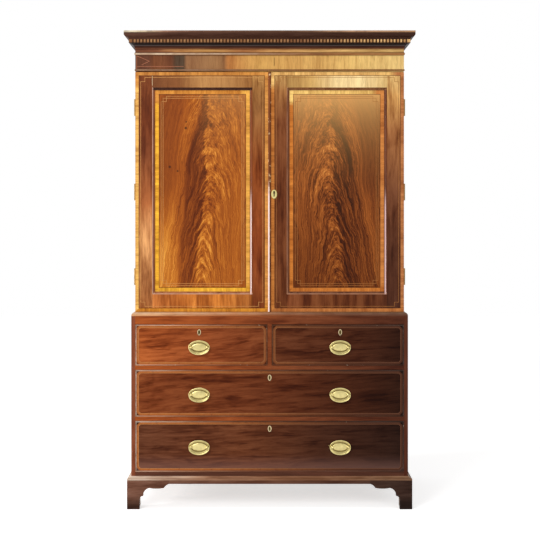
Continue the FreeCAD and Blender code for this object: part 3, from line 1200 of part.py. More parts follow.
def dentil_strip(name, x, y, first, count, direction):
    """A strip with a row of upright cuts, one pitch apart, so that the dentils stand between them. first
    holds the first cut's left, right, front and rear, and direction is the axis that the row follows."""
    body = doc.addObject("PartDesign::Body", name)

    def rectangle(left, right, near, far):
        return [(left, near), (right, near), (right, far), (left, far)]

    pad = body.newObject("PartDesign::Pad", f"{name}_pad")
    pad.Profile = sketch_in(body, "XY", rectangle(*x, *y))
    pad.setExpression("Length", "dims.dentil_high")
    gap = body.newObject("PartDesign::Pocket", f"{name}_cut")
    gap.Profile = sketch_in(body, "XY", rectangle(*first))
    gap.Type = "ThroughAll"
    gap.Reversed = True
    row = body.newObject("PartDesign::LinearPattern", f"{name}_row")
    row.Originals = [gap]
    axis = [item for item in body.Origin.OriginFeatures if item.Role == direction][0]
    row.Direction = (axis, [""])
    row.setExpression("Occurrences", count)
    row.setExpression("Length", f"({count} - 1) * at.dentil_pitch")
    body.Tip = row
    return place(body, z="at.dentils")


def dentils():
    """The front strip's cuts are spread from the middle, and the returns repeat its corner dentil."""
    edge = "(at.case + dims.dentil_reach)"
    face = "(at.door_face - dims.dentil_reach)"
    rear = "(at.door_face - dims.dentil_back_reach)"
    inner = "(at.case + dims.dentil_back_reach)"
    half = "dims.dentil_slot / 2"
    front = dentil_strip("dentil_front", (f"-{edge}", edge), (face, rear), (
        f"-at.dentil_end - {half}", f"-at.dentil_end + {half}", f"{face} - dims.dentil_slot_deep",
        f"{face} + dims.dentil_slot_deep"), "at.dentil_count", "X_Axis")
    start = f"({face} + {edge} - at.dentil_end)"
    side = dentil_strip("dentil_side", (inner, edge), (face, "at.back"), (
        f"{edge} - dims.dentil_slot_deep", f"{edge} + dims.dentil_slot_deep", f"{start} - {half}",
        f"{start} + {half}"), "at.dentil_side_count", "Y_Axis")
    node("cornice_dentils", [cut("dentil_front_mitred", front, [beyond_right, beyond_left])]
         + pair("dentil_side", cut("dentil_side_mitred", side, [beyond_front])))


# ---------------------------------------------------------------------------------------------------
# The whole press
# ---------------------------------------------------------------------------------------------------
bracket_feet()
plinth()
base_carcass()
waist_moulding()
case_carcass()
tray_runners()
for tray_number, tray_name in enumerate(TRAYS):
    tray(tray_number, tray_name)
doors()
door_lock()
node("left_door_brasses", hinges() + flush_bolts())
for drawer_name, drawer_row in DRAWERS.items():
    drawer(drawer_name, *drawer_row)
frieze()
cornice()
dentils()

doc.recompute()

for thing in doc.Objects:
    if "Invalid" in thing.State or "Error" in thing.State:
        raise RuntimeError(f"{thing.Name} did not compute: {thing.State}")
for part in nodes:
    if part.Shape.isNull() or not part.Shape.isValid():
        raise RuntimeError(f"{part.Label} has no valid shape")

os.makedirs("parts", exist_ok=True)
for part in nodes:
    part.Shape.exportStep(f"parts/{part.Label}.step")
print(f"{len(nodes)} nodes, {sum(len(part.Shape.Solids) for part in nodes)} solids")
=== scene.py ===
import json
import math

import bmesh
import bpy
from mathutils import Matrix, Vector


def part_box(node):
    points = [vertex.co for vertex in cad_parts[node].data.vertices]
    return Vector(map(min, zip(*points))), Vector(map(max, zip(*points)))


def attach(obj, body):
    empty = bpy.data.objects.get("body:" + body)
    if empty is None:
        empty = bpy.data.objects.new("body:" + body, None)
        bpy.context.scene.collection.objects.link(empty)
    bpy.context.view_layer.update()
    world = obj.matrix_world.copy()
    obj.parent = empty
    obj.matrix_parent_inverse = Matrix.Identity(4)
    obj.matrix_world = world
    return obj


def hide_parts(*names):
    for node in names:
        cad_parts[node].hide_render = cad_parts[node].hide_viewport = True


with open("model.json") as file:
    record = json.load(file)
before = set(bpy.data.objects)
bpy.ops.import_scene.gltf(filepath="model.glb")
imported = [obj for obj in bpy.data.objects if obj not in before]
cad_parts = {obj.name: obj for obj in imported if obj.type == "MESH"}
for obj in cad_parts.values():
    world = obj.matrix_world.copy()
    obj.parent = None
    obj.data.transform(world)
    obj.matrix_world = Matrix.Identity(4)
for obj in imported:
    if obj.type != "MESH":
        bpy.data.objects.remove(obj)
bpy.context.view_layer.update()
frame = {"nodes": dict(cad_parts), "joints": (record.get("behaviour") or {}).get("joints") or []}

MM = 0.001

# ---- Places, taken from the frame ----
DOOR_MOULDING_WIDE = 12 * MM
ASTRAGAL_HIGH = 12 * MM
DOOR_LOW, DOOR_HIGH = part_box("right_door_frame")
MOULDING_LOW, MOULDING_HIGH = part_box("right_door_moulding")
SIGHT_LOW = MOULDING_LOW + Vector((DOOR_MOULDING_WIDE, 0, DOOR_MOULDING_WIDE))
SIGHT_HIGH = MOULDING_HIGH - Vector((DOOR_MOULDING_WIDE, 0, DOOR_MOULDING_WIDE))
LOCK_LOW, LOCK_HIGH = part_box("right_door_lock")
CLOSING_LOW, CLOSING_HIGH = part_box("closing_bead")
BASE_LOW, BASE_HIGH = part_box("base_sides")
DRAWER_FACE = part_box("drawer_rails")[0].y
FRIEZE_LOW, FRIEZE_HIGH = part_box("frieze_boards")
BEADS_LOW, BEADS_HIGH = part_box("frieze_beads")
FRIEZE_BOTTOM = BEADS_LOW.z
ASTRAGAL_TOP = BEADS_HIGH.z
ASTRAGAL_FOOT = ASTRAGAL_TOP - ASTRAGAL_HIGH
WAIST_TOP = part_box("waist_moulding")[1].z
COVE_LOW, COVE_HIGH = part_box("cornice_cove")
DENTIL_LOW, DENTIL_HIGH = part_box("cornice_dentils")
CROWN_LOW, CROWN_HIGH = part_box("cornice_crown")
# Heights between which the mouldings and the closing bead carry a painted highlight, and between which knocks
# get more frequent
MOULDING_HIGHLIGHT_FOOT = 955 * MM
MOULDING_HIGHLIGHT_TOP = 1400 * MM
BEAD_HIGHLIGHT_TOP = 1440 * MM
FEW_KNOCKS_UP_TO = 1250 * MM
MOST_KNOCKS_FROM = 1600 * MM
DRAWERS = ("left_short", "right_short", "middle", "bottom")
BAILS = {
    "left_short": ("left_short_bail",),
    "right_short": ("right_short_bail",),
    "middle": ("middle_left_bail", "middle_right_bail"),
    "bottom": ("bottom_left_bail", "bottom_right_bail"),
}
JOINTS = {joint["name"]: joint for joint in frame["joints"]}


# ---- Finishes: small wrappers, so that a finish reads as sums of fields ----
def paint(red, green, blue):
    """A colour given as 0 to 255, as the shader takes it."""
    return tuple((part / 255 / 12.92 if part <= 10 else ((part / 255 + 0.055) / 1.055) ** 2.4)
                 for part in (red, green, blue)) + (1.0,)


def colours(*stops):
    """Stops for a ramp, each written as (place, red, green, blue)."""
    return tuple((place, paint(*colour)) for place, *colour in stops)


def feed(tree, socket, content):
    """Links a socket to another node's output, or gives it a constant."""
    if isinstance(content, Field):
        content = content.socket
    if isinstance(content, bpy.types.NodeSocket):
        tree.links.new(content, socket)
    else:
        socket.default_value = content


def node(tree, kind, inputs=None, **settings):
    """A new node with its settings; inputs says what each of its sockets is fed with."""
    made = tree.nodes.new(kind)
    for key, content in settings.items():
        setattr(made, key, content)
    for key, content in (inputs or {}).items():
        feed(tree, made.inputs[key], content)
    return made


class Field:
    """A number or colour that varies over a surface: the output of one of its finish's nodes."""

    def __init__(self, finish, socket):
        self.finish = finish
        self.socket = socket

    def __add__(self, other):
        return self.finish.math("ADD", self, other)

    __radd__ = __add__

    def __sub__(self, other):
        return self.finish.math("SUBTRACT", self, other)

    def __rsub__(self, other):
        return self.finish.math("SUBTRACT", other, self)

    def __mul__(self, other):
        return self.finish.math("MULTIPLY", self, other)

    def __truediv__(self, other):
        return self.finish.math("DIVIDE", self, other)

    def __pow__(self, other):
        return self.finish.math("POWER", self, other)

    def __abs__(self):
        return self.finish.math("ABSOLUTE", self)

    def share(self, low, high):
        """0 at low and 1 at high, in proportion between them and beyond."""
        return (self - low) / (high - low)

    def rise(self, low, high, start=0.0, end=1.0):
        """start up to low, end from high on, and a smooth rise between."""
        ends = {"Value": self, "From Min": low, "From Max": high, "To Min": start, "To Max": end}
        return self.finish.field("ShaderNodeMapRange", "Result", ends, interpolation_type="SMOOTHSTEP")

    def near(self, place, reach):
        """1 at a place, 0 from reach on either side of it."""
        return abs(self - place).rise(reach * 0.5, reach, 1.0, 0.0)


class Finish:
    """One material under construction."""

    def __init__(self, name, specular=0.07, metallic=0.0):
        self.material = bpy.data.materials.new(name)
        self.material.use_nodes = True
        self.tree = self.material.node_tree
        self.surface = self.tree.nodes["Principled BSDF"]
        self.surface.inputs["Metallic"].default_value = metallic
        self.surface.inputs["Specular IOR Level"].default_value = specular

    def field(self, kind, output, inputs, **settings):
        """One output of a new node."""
        return Field(self, node(self.tree, kind, inputs, **settings).outputs[output])

    def math(self, operation, *terms):
        """A sum, product or other operation on fields and numbers."""
        return self.field("ShaderNodeMath", 0, dict(enumerate(terms)), operation=operation)

    def coordinates(self, kind):
        """The three parts of one kind of texture coordinate."""
        point = node(self.tree, "ShaderNodeTexCoord").outputs[kind]
        return [Field(self, part) for part in node(self.tree, "ShaderNodeSeparateXYZ", {0: point}).outputs]

    def place(self):
        """x, y and z on the object, in metres."""
        return self.coordinates("Object")

    def strip(self):
        """Distance along a strip of inlay and across it, in metres."""
        return self.coordinates("UV")[:2]

    def noise(self, x, y, z, scale, detail=2.0, rough=0.5, twist=0.0):
        """Cloudy noise from 0 to 1; stretched by dividing a coordinate before it comes here."""
        point = self.field("ShaderNodeCombineXYZ", 0, {0: x, 1: y, 2: z})
        clouds = {"Vector": point, "Scale": scale, "Detail": detail, "Roughness": rough, "Distortion": twist}
        return self.field("ShaderNodeTexNoise", "Fac", clouds)

    def ramp(self, field, *stops):
        """A colour for each stop (position, colour), blended between them."""
        made = node(self.tree, "ShaderNodeValToRGB", {0: field})
        elements = made.color_ramp.elements
        elements[0].position, elements[0].color = stops[0]
        elements[1].position, elements[1].color = stops[-1]
        for position, colour in stops[1:-1]:
            elements.new(position).color = colour
        return Field(self, made.outputs["Color"])

    def tones(self, field, *stops):
        """A ramp whose stops are written as (place, red, green, blue)."""
        return self.ramp(field, *colours(*stops))

    def blend(self, factor, first, second, way="MIX"):
        """The second colour laid over the first, by a share."""
        inputs = {0: factor, 6: first, 7: second}
        return self.field("ShaderNodeMix", 2, inputs, data_type="RGBA", blend_type=way)

    def scaled(self, colour, amount):
        """A colour made lighter or darker."""
        colour = colour if isinstance(colour, Field) else colour[:3]
        return self.field("ShaderNodeVectorMath", 0, {0: colour, "Scale": amount}, operation="SCALE")

    def done(self, colour, roughness, relief=None, depth=0.0):
        """The finished material; depth is the height of its relief."""
        feed(self.tree, self.surface.inputs["Base Color"], colour)
        feed(self.tree, self.surface.inputs["Roughness"], roughness)
        if relief is not None:
            bump = node(self.tree, "ShaderNodeBump", {"Height": relief, "Strength": 1.0, "Distance": depth})
            feed(self.tree, self.surface.inputs["Normal"], bump.outputs[0])
        return self.material


# ---- Woods ----
def grain(finish, across, deep, along, seed=0.0, bold=0.5, wave=0.02):
    """Mahogany's clouds, streaks, fibres and dark pores. Returns tone, about 0 to 1, and pores, 0 to 1."""
    bent = across + (finish.noise(across * 2, deep, along + seed, 2.2, 1) - 0.5) * wave
    clouds = finish.noise(bent, deep, along / 5 + seed, 24, 3, 0.55, 0.5)
    streaks = finish.noise(bent, deep, along / 13 + seed, 75, 3, 0.62, 0.3)
    fibres = finish.noise(bent, deep, along / 30 + seed, 420, 2, 0.6)
    tone = (clouds - 0.5) * (2.4 * bold) + (streaks - 0.5) * 1.2 + (fibres - 0.5) * 0.4 + 0.5
    pores = finish.noise(bent, deep, along / 22 + seed, 900, 1, 0.4).rise(0.60, 0.72)
    return tone, pores


# What a streak does to the wood's mean colour, halved: dark streaks turn redder, light ones more golden
SHADE = ((0.0, (0.19, 0.14, 0.12, 1)), (0.16, (0.38, 0.34, 0.31, 1)), (0.25, (0.5, 0.5, 0.5, 1)),
         (0.36, (0.61, 0.65, 0.67, 1)), (0.5, (0.75, 0.87, 0.95, 1)))
PLAIN_MAHOGANY = paint(112, 62, 36)


def figured(finish, base, tone, pores):
    """A wood's mean colour with its figure on it."""
    shade = finish.ramp(tone * 0.5, *SHADE)
    colour = finish.blend(1.0, finish.scaled(base, 2.0), shade, "MULTIPLY")
    return finish.scaled(colour, 1 - pores * 0.3)


def polish(finish, colour, tone, pores, roughness=0.36):
    """Old wax polish: a little uneven, duller over the pores."""
    x, y, z = finish.place()
    uneven = finish.noise(x, y, z, 7, 2)
    relief = tone * 0.25 - pores * 0.5 + uneven * 1.5
    return finish.done(colour, uneven * 0.16 + (roughness - 0.06) + pores * 0.12, relief, 0.1 * MM)


def toned(finish, field, stops):
    """One colour, or a run of colours spread evenly or at given places."""
    if len(stops) == 1:
        return stops[0]
    if len(stops[0]) == 2:
        return finish.ramp(field, *stops)
    return finish.ramp(field, *((index / (len(stops) - 1), stop) for index, stop in enumerate(stops)))


def mahogany(name, along, *stops, seed=0.0, bold=0.4, chips=0.0, wear_and_sheen=None, dusk=None, gleam=None):
    """Plain mahogany with its grain along x or z. Its mean colour runs through the stops from left to right.
    wear_and_sheen is (way, from, to, share at the left, share at the right) of wood made pale, partly by use
    and partly as a painted highlight; its way is "up" or "out", to the front. chips is the share of small
    knocks, most of them high up. dusk is (from z, to z, share) of colour darker below. gleam is (x, reach,
    top z) of an upright painted highlight."""
    finish = Finish(name)
    x, y, z = finish.place()
    across, deep, far = (z, y, x) if along == "x" else (x + y, y - x, z)
    tone, pores = grain(finish, across, deep, far, seed, bold)
    where = x.share(BASE_LOW.x, BASE_HIGH.x)
    colour = figured(finish, toned(finish, where, stops), tone, pores)
    if dusk:
        colour = finish.scaled(colour, z.rise(*dusk, 1.0))
    # wear_and_sheen: pale wood, partly from use and partly a painted highlight on the upper or front edge
    if wear_and_sheen:
        way, low, high, left, right = wear_and_sheen
        worn_and_sheen = (z if way == "up" else 0 - y).rise(low, high) * where.rise(0.0, 0.75, left, right)
        patchy = finish.noise(x, y, z, 26, 3, 0.6).rise(0.3, 0.65, 0.55, 1.0)
        colour = finish.blend(worn_and_sheen * patchy, colour, paint(212, 188, 158))
    if chips:
        often = z.rise(FEW_KNOCKS_UP_TO, MOST_KNOCKS_FROM, 0.4, 1.0)
        knocked = finish.noise(x, y, z, 75, 2).rise(0.62, 0.67) * often
        colour = finish.blend(knocked * chips, colour, paint(228, 198, 150))
    # gleam: a painted highlight, an upright pale line
    if gleam:
        line, reach, top = gleam
        painted_highlight = x.near(line, reach) * z.rise(top - 50 * MM, top + 50 * MM, 0.85, 0.0)
        colour = finish.blend(painted_highlight, colour, paint(242, 216, 208))
    return polish(finish, colour, tone, pores)


def plain_wood(name, along, light, dark, seed=0.0, front=None):
    """Unpolished pine or oak for the inside and the back; front is (y, colour) of a polished front edge."""
    finish = Finish(name, specular=0.1)
    x, y, z = finish.place()
    across, deep, far = {"x": (z, y, x), "y": (x, z, y), "z": (x, y, z)}[along]
    rings = finish.noise(across, deep, far / 12 + seed, 30, 3, 0.6, 0.6)
    fibres = finish.noise(across, deep, far / 40 + seed, 500, 2)
    board = finish.noise(across, deep, seed, 4, 0)
    tone = rings * 0.8 + fibres * 0.3 + board * 0.3 - 0.2
    grime = finish.noise(x, y, z, 6, 4, 0.6).rise(0.45, 0.75)
    colour = finish.blend(grime * 0.4, finish.ramp(tone, (0.15, dark), (0.75, light)), dark)
    if front:
        streak = finish.noise(x / 10, y, z, 60, 3)
        face, polished = front
        edge = finish.scaled(polished, streak * 1.2 + 0.4)
        colour = finish.blend(y.rise(face, face + 1 * MM, 1.0, 0.0), colour, edge)
    return finish.done(colour, fibres * 0.2 + 0.62, tone, 0.2 * MM)


def door_frame(name, side, hinge_stile, meeting_stile, head_rail, foot_rail, crack=0.0):
    """Veneered stiles and rails with upright grain. Stiles are toned from foot to head, rails from the
    meeting edge to the hinges. crack is how clearly the joint of head rail and hinge stile stands open."""
    finish = Finish(name)
    x, y, z = finish.place()
    out = x * side
    inner = out.rise(MOULDING_LOW.x - 0.2 * MM, MOULDING_LOW.x + 0.2 * MM)
    outer = out.rise(MOULDING_HIGH.x - 0.2 * MM, MOULDING_HIGH.x + 0.2 * MM)
    rails = inner - outer
    upper = z.rise(MOULDING_HIGH.z - 60 * MM, MOULDING_HIGH.z - 40 * MM)
    tone, pores = grain(finish, x, y + inner * 0.37 + outer * 0.53, z, 1.7 * side, 0.55, 0.035)
    bars = finish.noise(x, side * 4.0, z / 7, 21, 2, 0.5)
    swirl = finish.noise(x, y, z / 2.5, 17, 3, 0.6, 1.2)
    # The head rails' figure is softened, as under the painted glare of their pale tones
    tone = (tone - 0.5) * (1 - upper * rails * 0.62) + 0.5
    tone = tone + (bars - 0.5) * rails * (1 - upper) * 2.3 + (swirl - 0.5) * (1 - rails) * 0.6
    height = z.share(DOOR_LOW.z, DOOR_HIGH.z)
    share = out.share(MOULDING_LOW.x, MOULDING_HIGH.x)
    rail = finish.blend(upper, toned(finish, share, foot_rail), toned(finish, share, head_rail))
    hinge = toned(finish, height, hinge_stile)
    meet = toned(finish, height, meeting_stile)
    base = finish.blend(outer, finish.blend(inner, meet, rail), hinge)
    middle = (MOULDING_LOW.x + MOULDING_HIGH.x) / 2
    joint = abs(abs(out - middle) - (MOULDING_HIGH.x - MOULDING_LOW.x) / 2)
    line = joint.rise(0.2 * MM, 0.8 * MM, 0.55, 0.0)
    colour = finish.scaled(figured(finish, base, tone, pores), 1 - line)
    if crack:
        above = z.rise(MOULDING_HIGH.z + 2 * MM, MOULDING_HIGH.z + 14 * MM)
        opened = out.near(MOULDING_HIGH.x, 1.6 * MM) * above
        colour = finish.blend(opened * crack, colour, paint(214, 190, 150))
    plain = figured(finish, PLAIN_MAHOGANY, tone, pores)
    colour = finish.blend(y.rise(DOOR_HIGH.y - 1 * MM, DOOR_HIGH.y - 0.2 * MM), colour, plain)
    return polish(finish, colour, tone, pores, 0.34)


def flame(name, side, tones, wash, glow, heart, plume, foot_light, bold=1.0, whole_top=False, knots=()):
    """Crotch mahogany: a dark ragged spine, arches nested beside it, and streaks that fall away on both
    sides. tones run from dark to light and wash from foot to head. heart is the spine's darkness, plume and
    foot_light are the light parts beside it and at the foot. glow is painted glare on the head, over its
    whole width with whole_top. A knot is (x, z, radius)."""
    finish = Finish(name)
    x, y, z = finish.place()
    out = x * side
    level = z.share(SIGHT_LOW.z, SIGHT_HIGH.z)
    wander = (finish.noise(0.0, 3.0, z, 7, 2) - 0.5) * 0.02 - level.near(0.46, 0.2) * 0.012
    beside = level * -0.02 - level * level * 0.072 + 0.376 + wander - out
    rag = (finish.noise(x, 3.0, z / 1.6, 26, 3, 0.6) - 0.5) * 0.03
    crest = abs(beside - level.rise(0.5, 0.98, 0.066, 0.03) + rag)
    sway = (finish.noise(x, 0.3, z, 5.5, 2) - 0.5) * 0.07
    arch = z + crest ** 1.6 * level.rise(0.0, 0.9, 13.0, 5.5) + sway
    lane = beside * 0.6
    broad = finish.noise(arch, lane, 2.0, 9, 2, 0.5)
    plumes = finish.noise(arch, lane, 5.0, 36, 3, 0.58, 0.4)
    barbs = finish.noise(arch, lane * 1.4, 9.0, 120, 3, 0.6, 0.2)
    fibres = finish.noise(x, y, z / 12, 260, 2)
    lively = abs(beside - 0.04).rise(0.07, 0.18, 1.0, 0.6)
    quiet = beside.rise(-0.11, -0.03, 1.0, 0.0) * level.rise(0.35, 0.6)
    lively = lively * (1 - quiet * 0.45) * bold
    tone = ((broad - 0.5) * 0.7 + (plumes - 0.5) + (barbs - 0.5) * 1.15) * lively
    tone = tone + (fibres - 0.5) * 0.22 + 0.5
    ragged = abs(beside + (plumes - 0.5) * 0.045 + (barbs - 0.5) * 0.022)
    width = level.rise(0.55, 1.0, 0.042, 0.014)
    broken = level.rise(0.12, 0.32, 0.6, 1.0)
    spine = ragged.rise(width * 0.8, width * 1.2, 1.0, 0.0) * broken
    golden = beside.near(0.062, 0.06) * (level.rise(0.02, 0.08) - level.rise(0.3, 0.42))
    golden = golden + beside.near(0.05, 0.05) * (level.rise(0.42, 0.52) - level.rise(0.6, 0.7)) * 0.6
    blots = finish.noise(x, 6.0, z / 1.5, 19, 3, 0.55, 0.4).rise(0.5, 0.62)
    blots = blots * beside.near(0.06, 0.05) * level.rise(0.3, 0.5)
    tone = tone - spine * heart - blots * heart * 0.7 + golden * plumes.rise(0.4, 0.62) * plume - quiet * 0.14
    tone = tone + beside.rise(-0.09, -0.02, 1.0, 0.0) * level.rise(0.18, 0.45, foot_light, 0.0)
    colour = finish.blend(1.0, finish.ramp(tone, *tones), finish.ramp(level, *wash), "MULTIPLY")
    # Painted glare on the panel's head
    lit = level ** 6
    if not whole_top:
        lit = lit * beside.rise(-0.06, 0.05)
    colour = finish.blend(lit * glow, colour, paint(228, 174, 104))
    for knot_x, knot_z, knot in knots:
        away = finish.math("SQRT", (x - knot_x) ** 2 + (z - knot_z) ** 2)
        colour = finish.blend(away.rise(knot * 0.4, knot, 0.85, 0.0), colour, paint(58, 32, 20))
    pores = finish.noise(x, y, z / 8, 850, 1).rise(0.62, 0.74)
    colour = finish.scaled(colour, 1 - pores * 0.15)
    plain_tone, plain_pores = grain(finish, x, y, z, 3.0, 0.4)
    plain = figured(finish, PLAIN_MAHOGANY, plain_tone, plain_pores)
    colour = finish.blend(y.rise(MOULDING_HIGH.y + 1 * MM, MOULDING_HIGH.y + 2 * MM), colour, plain)
    return polish(finish, colour, tone, pores, 0.32)


def panel_moulding(name, lengths, arris, gleam, seed):
    """The moulding round a panel. Its four lengths (left, right, head, foot) have tones of their own, partly
    painted light and shade; the outer arris of the left and foot ones carries a patchy painted highlight, and
    the lower half of the right one a painted highlight."""
    finish = Finish(name, specular=0.14)
    x, y, z = finish.place()
    low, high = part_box(name)
    middle = (low.x + high.x) / 2
    left, right, head, foot = (paint(*length) for length in lengths)
    tone, pores = grain(finish, x, y, z, seed, 0.3)
    # The lengths' tones differ partly as painted light and shade
    base = finish.blend(x.rise(middle, middle + 1 * MM), left, right)
    base = finish.blend(z.rise(SIGHT_HIGH.z - 0.5 * MM, SIGHT_HIGH.z + 0.5 * MM), base, head)
    base = finish.blend(z.rise(SIGHT_LOW.z - 0.5 * MM, SIGHT_LOW.z + 0.5 * MM, 1.0, 0.0), base, foot)
    edge = finish.math("MINIMUM", x - low.x, z - low.z)
    patchy = finish.noise(x, y, z, 14, 3, 0.6).rise(0.3, 0.6, 0.5, 1.0)
    # A patchy painted highlight on the outer arris
    lit_arris = edge.rise(3 * MM, 5 * MM, 0.8, 0.0) * patchy
    colour = finish.blend(lit_arris, figured(finish, base, tone, pores), paint(*arris))
    # A painted highlight on the lower half of the right length
    painted_highlight = z.rise(MOULDING_HIGHLIGHT_TOP - 60 * MM, MOULDING_HIGHLIGHT_TOP + 60 * MM, 1.0, 0.0)
    painted_highlight = (high.x - x).near(7 * MM, 4 * MM) * painted_highlight * z.rise(MOULDING_HIGHLIGHT_FOOT, MOULDING_HIGHLIGHT_FOOT + 7 * MM)
    colour = finish.blend(painted_highlight * 0.7, colour, paint(*gleam))
    return polish(finish, colour, tone, pores, 0.2)


def crossbanding(name, corners, ticks, tones):
    """Cross-cut veneer round a frame between two corners, in short pieces that differ. tones are those of its
    foot, right, head and left; ticks is how dark the joints between the pieces are."""
    finish = Finish(name)
    along, across = finish.strip()
    wide, high = corners[1].x - corners[0].x, corners[1].z - corners[0].z
    foot, right, head, left = (paint(*tone) for tone in tones)
    round_all = 2 * (wide + high)
    ends = (wide / round_all, (wide + high) / round_all, (2 * wide + high) / round_all)
    stops = [(0.0, foot)]
    for end, before, after in zip(ends, (foot, right, head), (right, head, left)):
        stops += [(end - 0.002, before), (end + 0.002, after)]
    base = finish.ramp(along / round_all, *stops, (1.0, left))
    pieces = finish.noise(along, 3.0, 0.0, 9, 2)
    blocks = finish.noise(along, 8.0, 0.0, 42, 2)
    fibres = finish.noise(along, across / 14, 1.0, 520, 3, 0.6)
    tone = pieces + blocks + fibres - 1
    gaps = finish.noise(along, 5.0, 0.0, 150, 1).rise(0.60, 0.68)
    colour = figured(finish, base, tone, gaps * ticks * 2)
    return finish.done(colour, fibres * 0.1 + 0.34, fibres, 0.05 * MM)


def stringing(name, light, dark, wear_and_sheen, deep=None):
    """A thin line of boxwood or dyed wood, scuffed in places; deep is its tone at the right end of the press.
    """
    finish = Finish(name)
    x, y, z = finish.place()
    along, across = finish.strip()
    pieces = finish.noise(along, 5.0, 0.0, 30, 3, 0.7)
    worn_and_sheen = finish.noise(along, across, 7.0, 60, 3).rise(0.60, 0.68)
    colour = finish.blend(worn_and_sheen * 0.6, finish.ramp(pieces, (0.25, dark), (0.75, light)), wear_and_sheen)
    if deep:
        colour = finish.blend(x.rise(BASE_LOW.x, BASE_HIGH.x * 0.8), colour, deep)
    return finish.done(colour, pieces * 0.1 + 0.32)


def drawer_mahogany(name, drawer, stops, slope, seed, dusty=0.0):
    """Figured mahogany laid across, blotched and streaked, with cock beads of their own colour, brightened at
    the left by a painted highlight.
    """
    finish = Finish(name, specular=0.045)
    x, y, z = finish.place()
    low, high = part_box(f"{drawer}_drawer_front")
    bend = (finish.noise(x / 2, 4.0 + seed, z, 4, 2) - 0.5) * 0.04
    level = z - x * slope + bend
    tone, pores = grain(finish, level, y, x, seed, 0.38, 0.01)
    streaks = finish.noise(level, seed, x / 7, 48, 3, 0.55, 0.5)
    blotches = finish.noise(level, seed * 2, x / 2.6, 13, 3, 0.55, 0.6)
    tone = tone - streaks.rise(0.5, 0.68) * 0.34 - blotches.rise(0.5, 0.66) * 0.2
    tone = tone + blotches.rise(0.3, 0.45, 0.14, 0.0)
    where = x.share(BASE_LOW.x, BASE_HIGH.x)
    face = figured(finish, finish.ramp(where, *stops), tone, pores)
    if dusty:
        face = finish.blend(z.rise(low.z, low.z + 85 * MM, dusty, 0.0), face, paint(128, 92, 82))
    from_side = finish.math("MINIMUM", x - low.x, high.x - x)
    from_end = finish.math("MINIMUM", z - low.z, high.z - z)
    face = finish.scaled(face, (from_side + from_end).rise(19 * MM, 21 * MM, 0.45, 1.0))
    proud = y.rise(DRAWER_FACE - 0.6 * MM, DRAWER_FACE - 0.2 * MM, 1.0, 0.0)
    under = z.rise(low.z + 5 * MM, low.z + 6 * MM, 1.0, 0.0)
    # The beads' tones are a painted highlight at the left, brightest on the foot bead, over their own colour
    bead = finish.tones(where, (0.0, 238, 216, 196), (0.2, 206, 172, 146), (0.38, 134, 98, 76),
                        (0.6, 96, 66, 50), (1.0, 92, 76, 68))
    foot_bead_highlight = finish.tones(where, (0.0, 232, 196, 168), (0.22, 196, 146, 110), (0.42, 132, 82, 56),
                             (1.0, 84, 58, 46))
    bead_tone, bead_pores = grain(finish, y * 3, z, x + z, seed + 3, 0.3)
    bead = figured(finish, finish.blend(under, bead, foot_bead_highlight), bead_tone, bead_pores)
    chips = finish.noise(x, y, z, 55, 3, 0.6).rise(0.67, 0.70)
    bead = finish.blend(chips * 0.8, bead, paint(222, 208, 182))
    return polish(finish, finish.blend(proud, face, bead), tone, pores, 0.36)


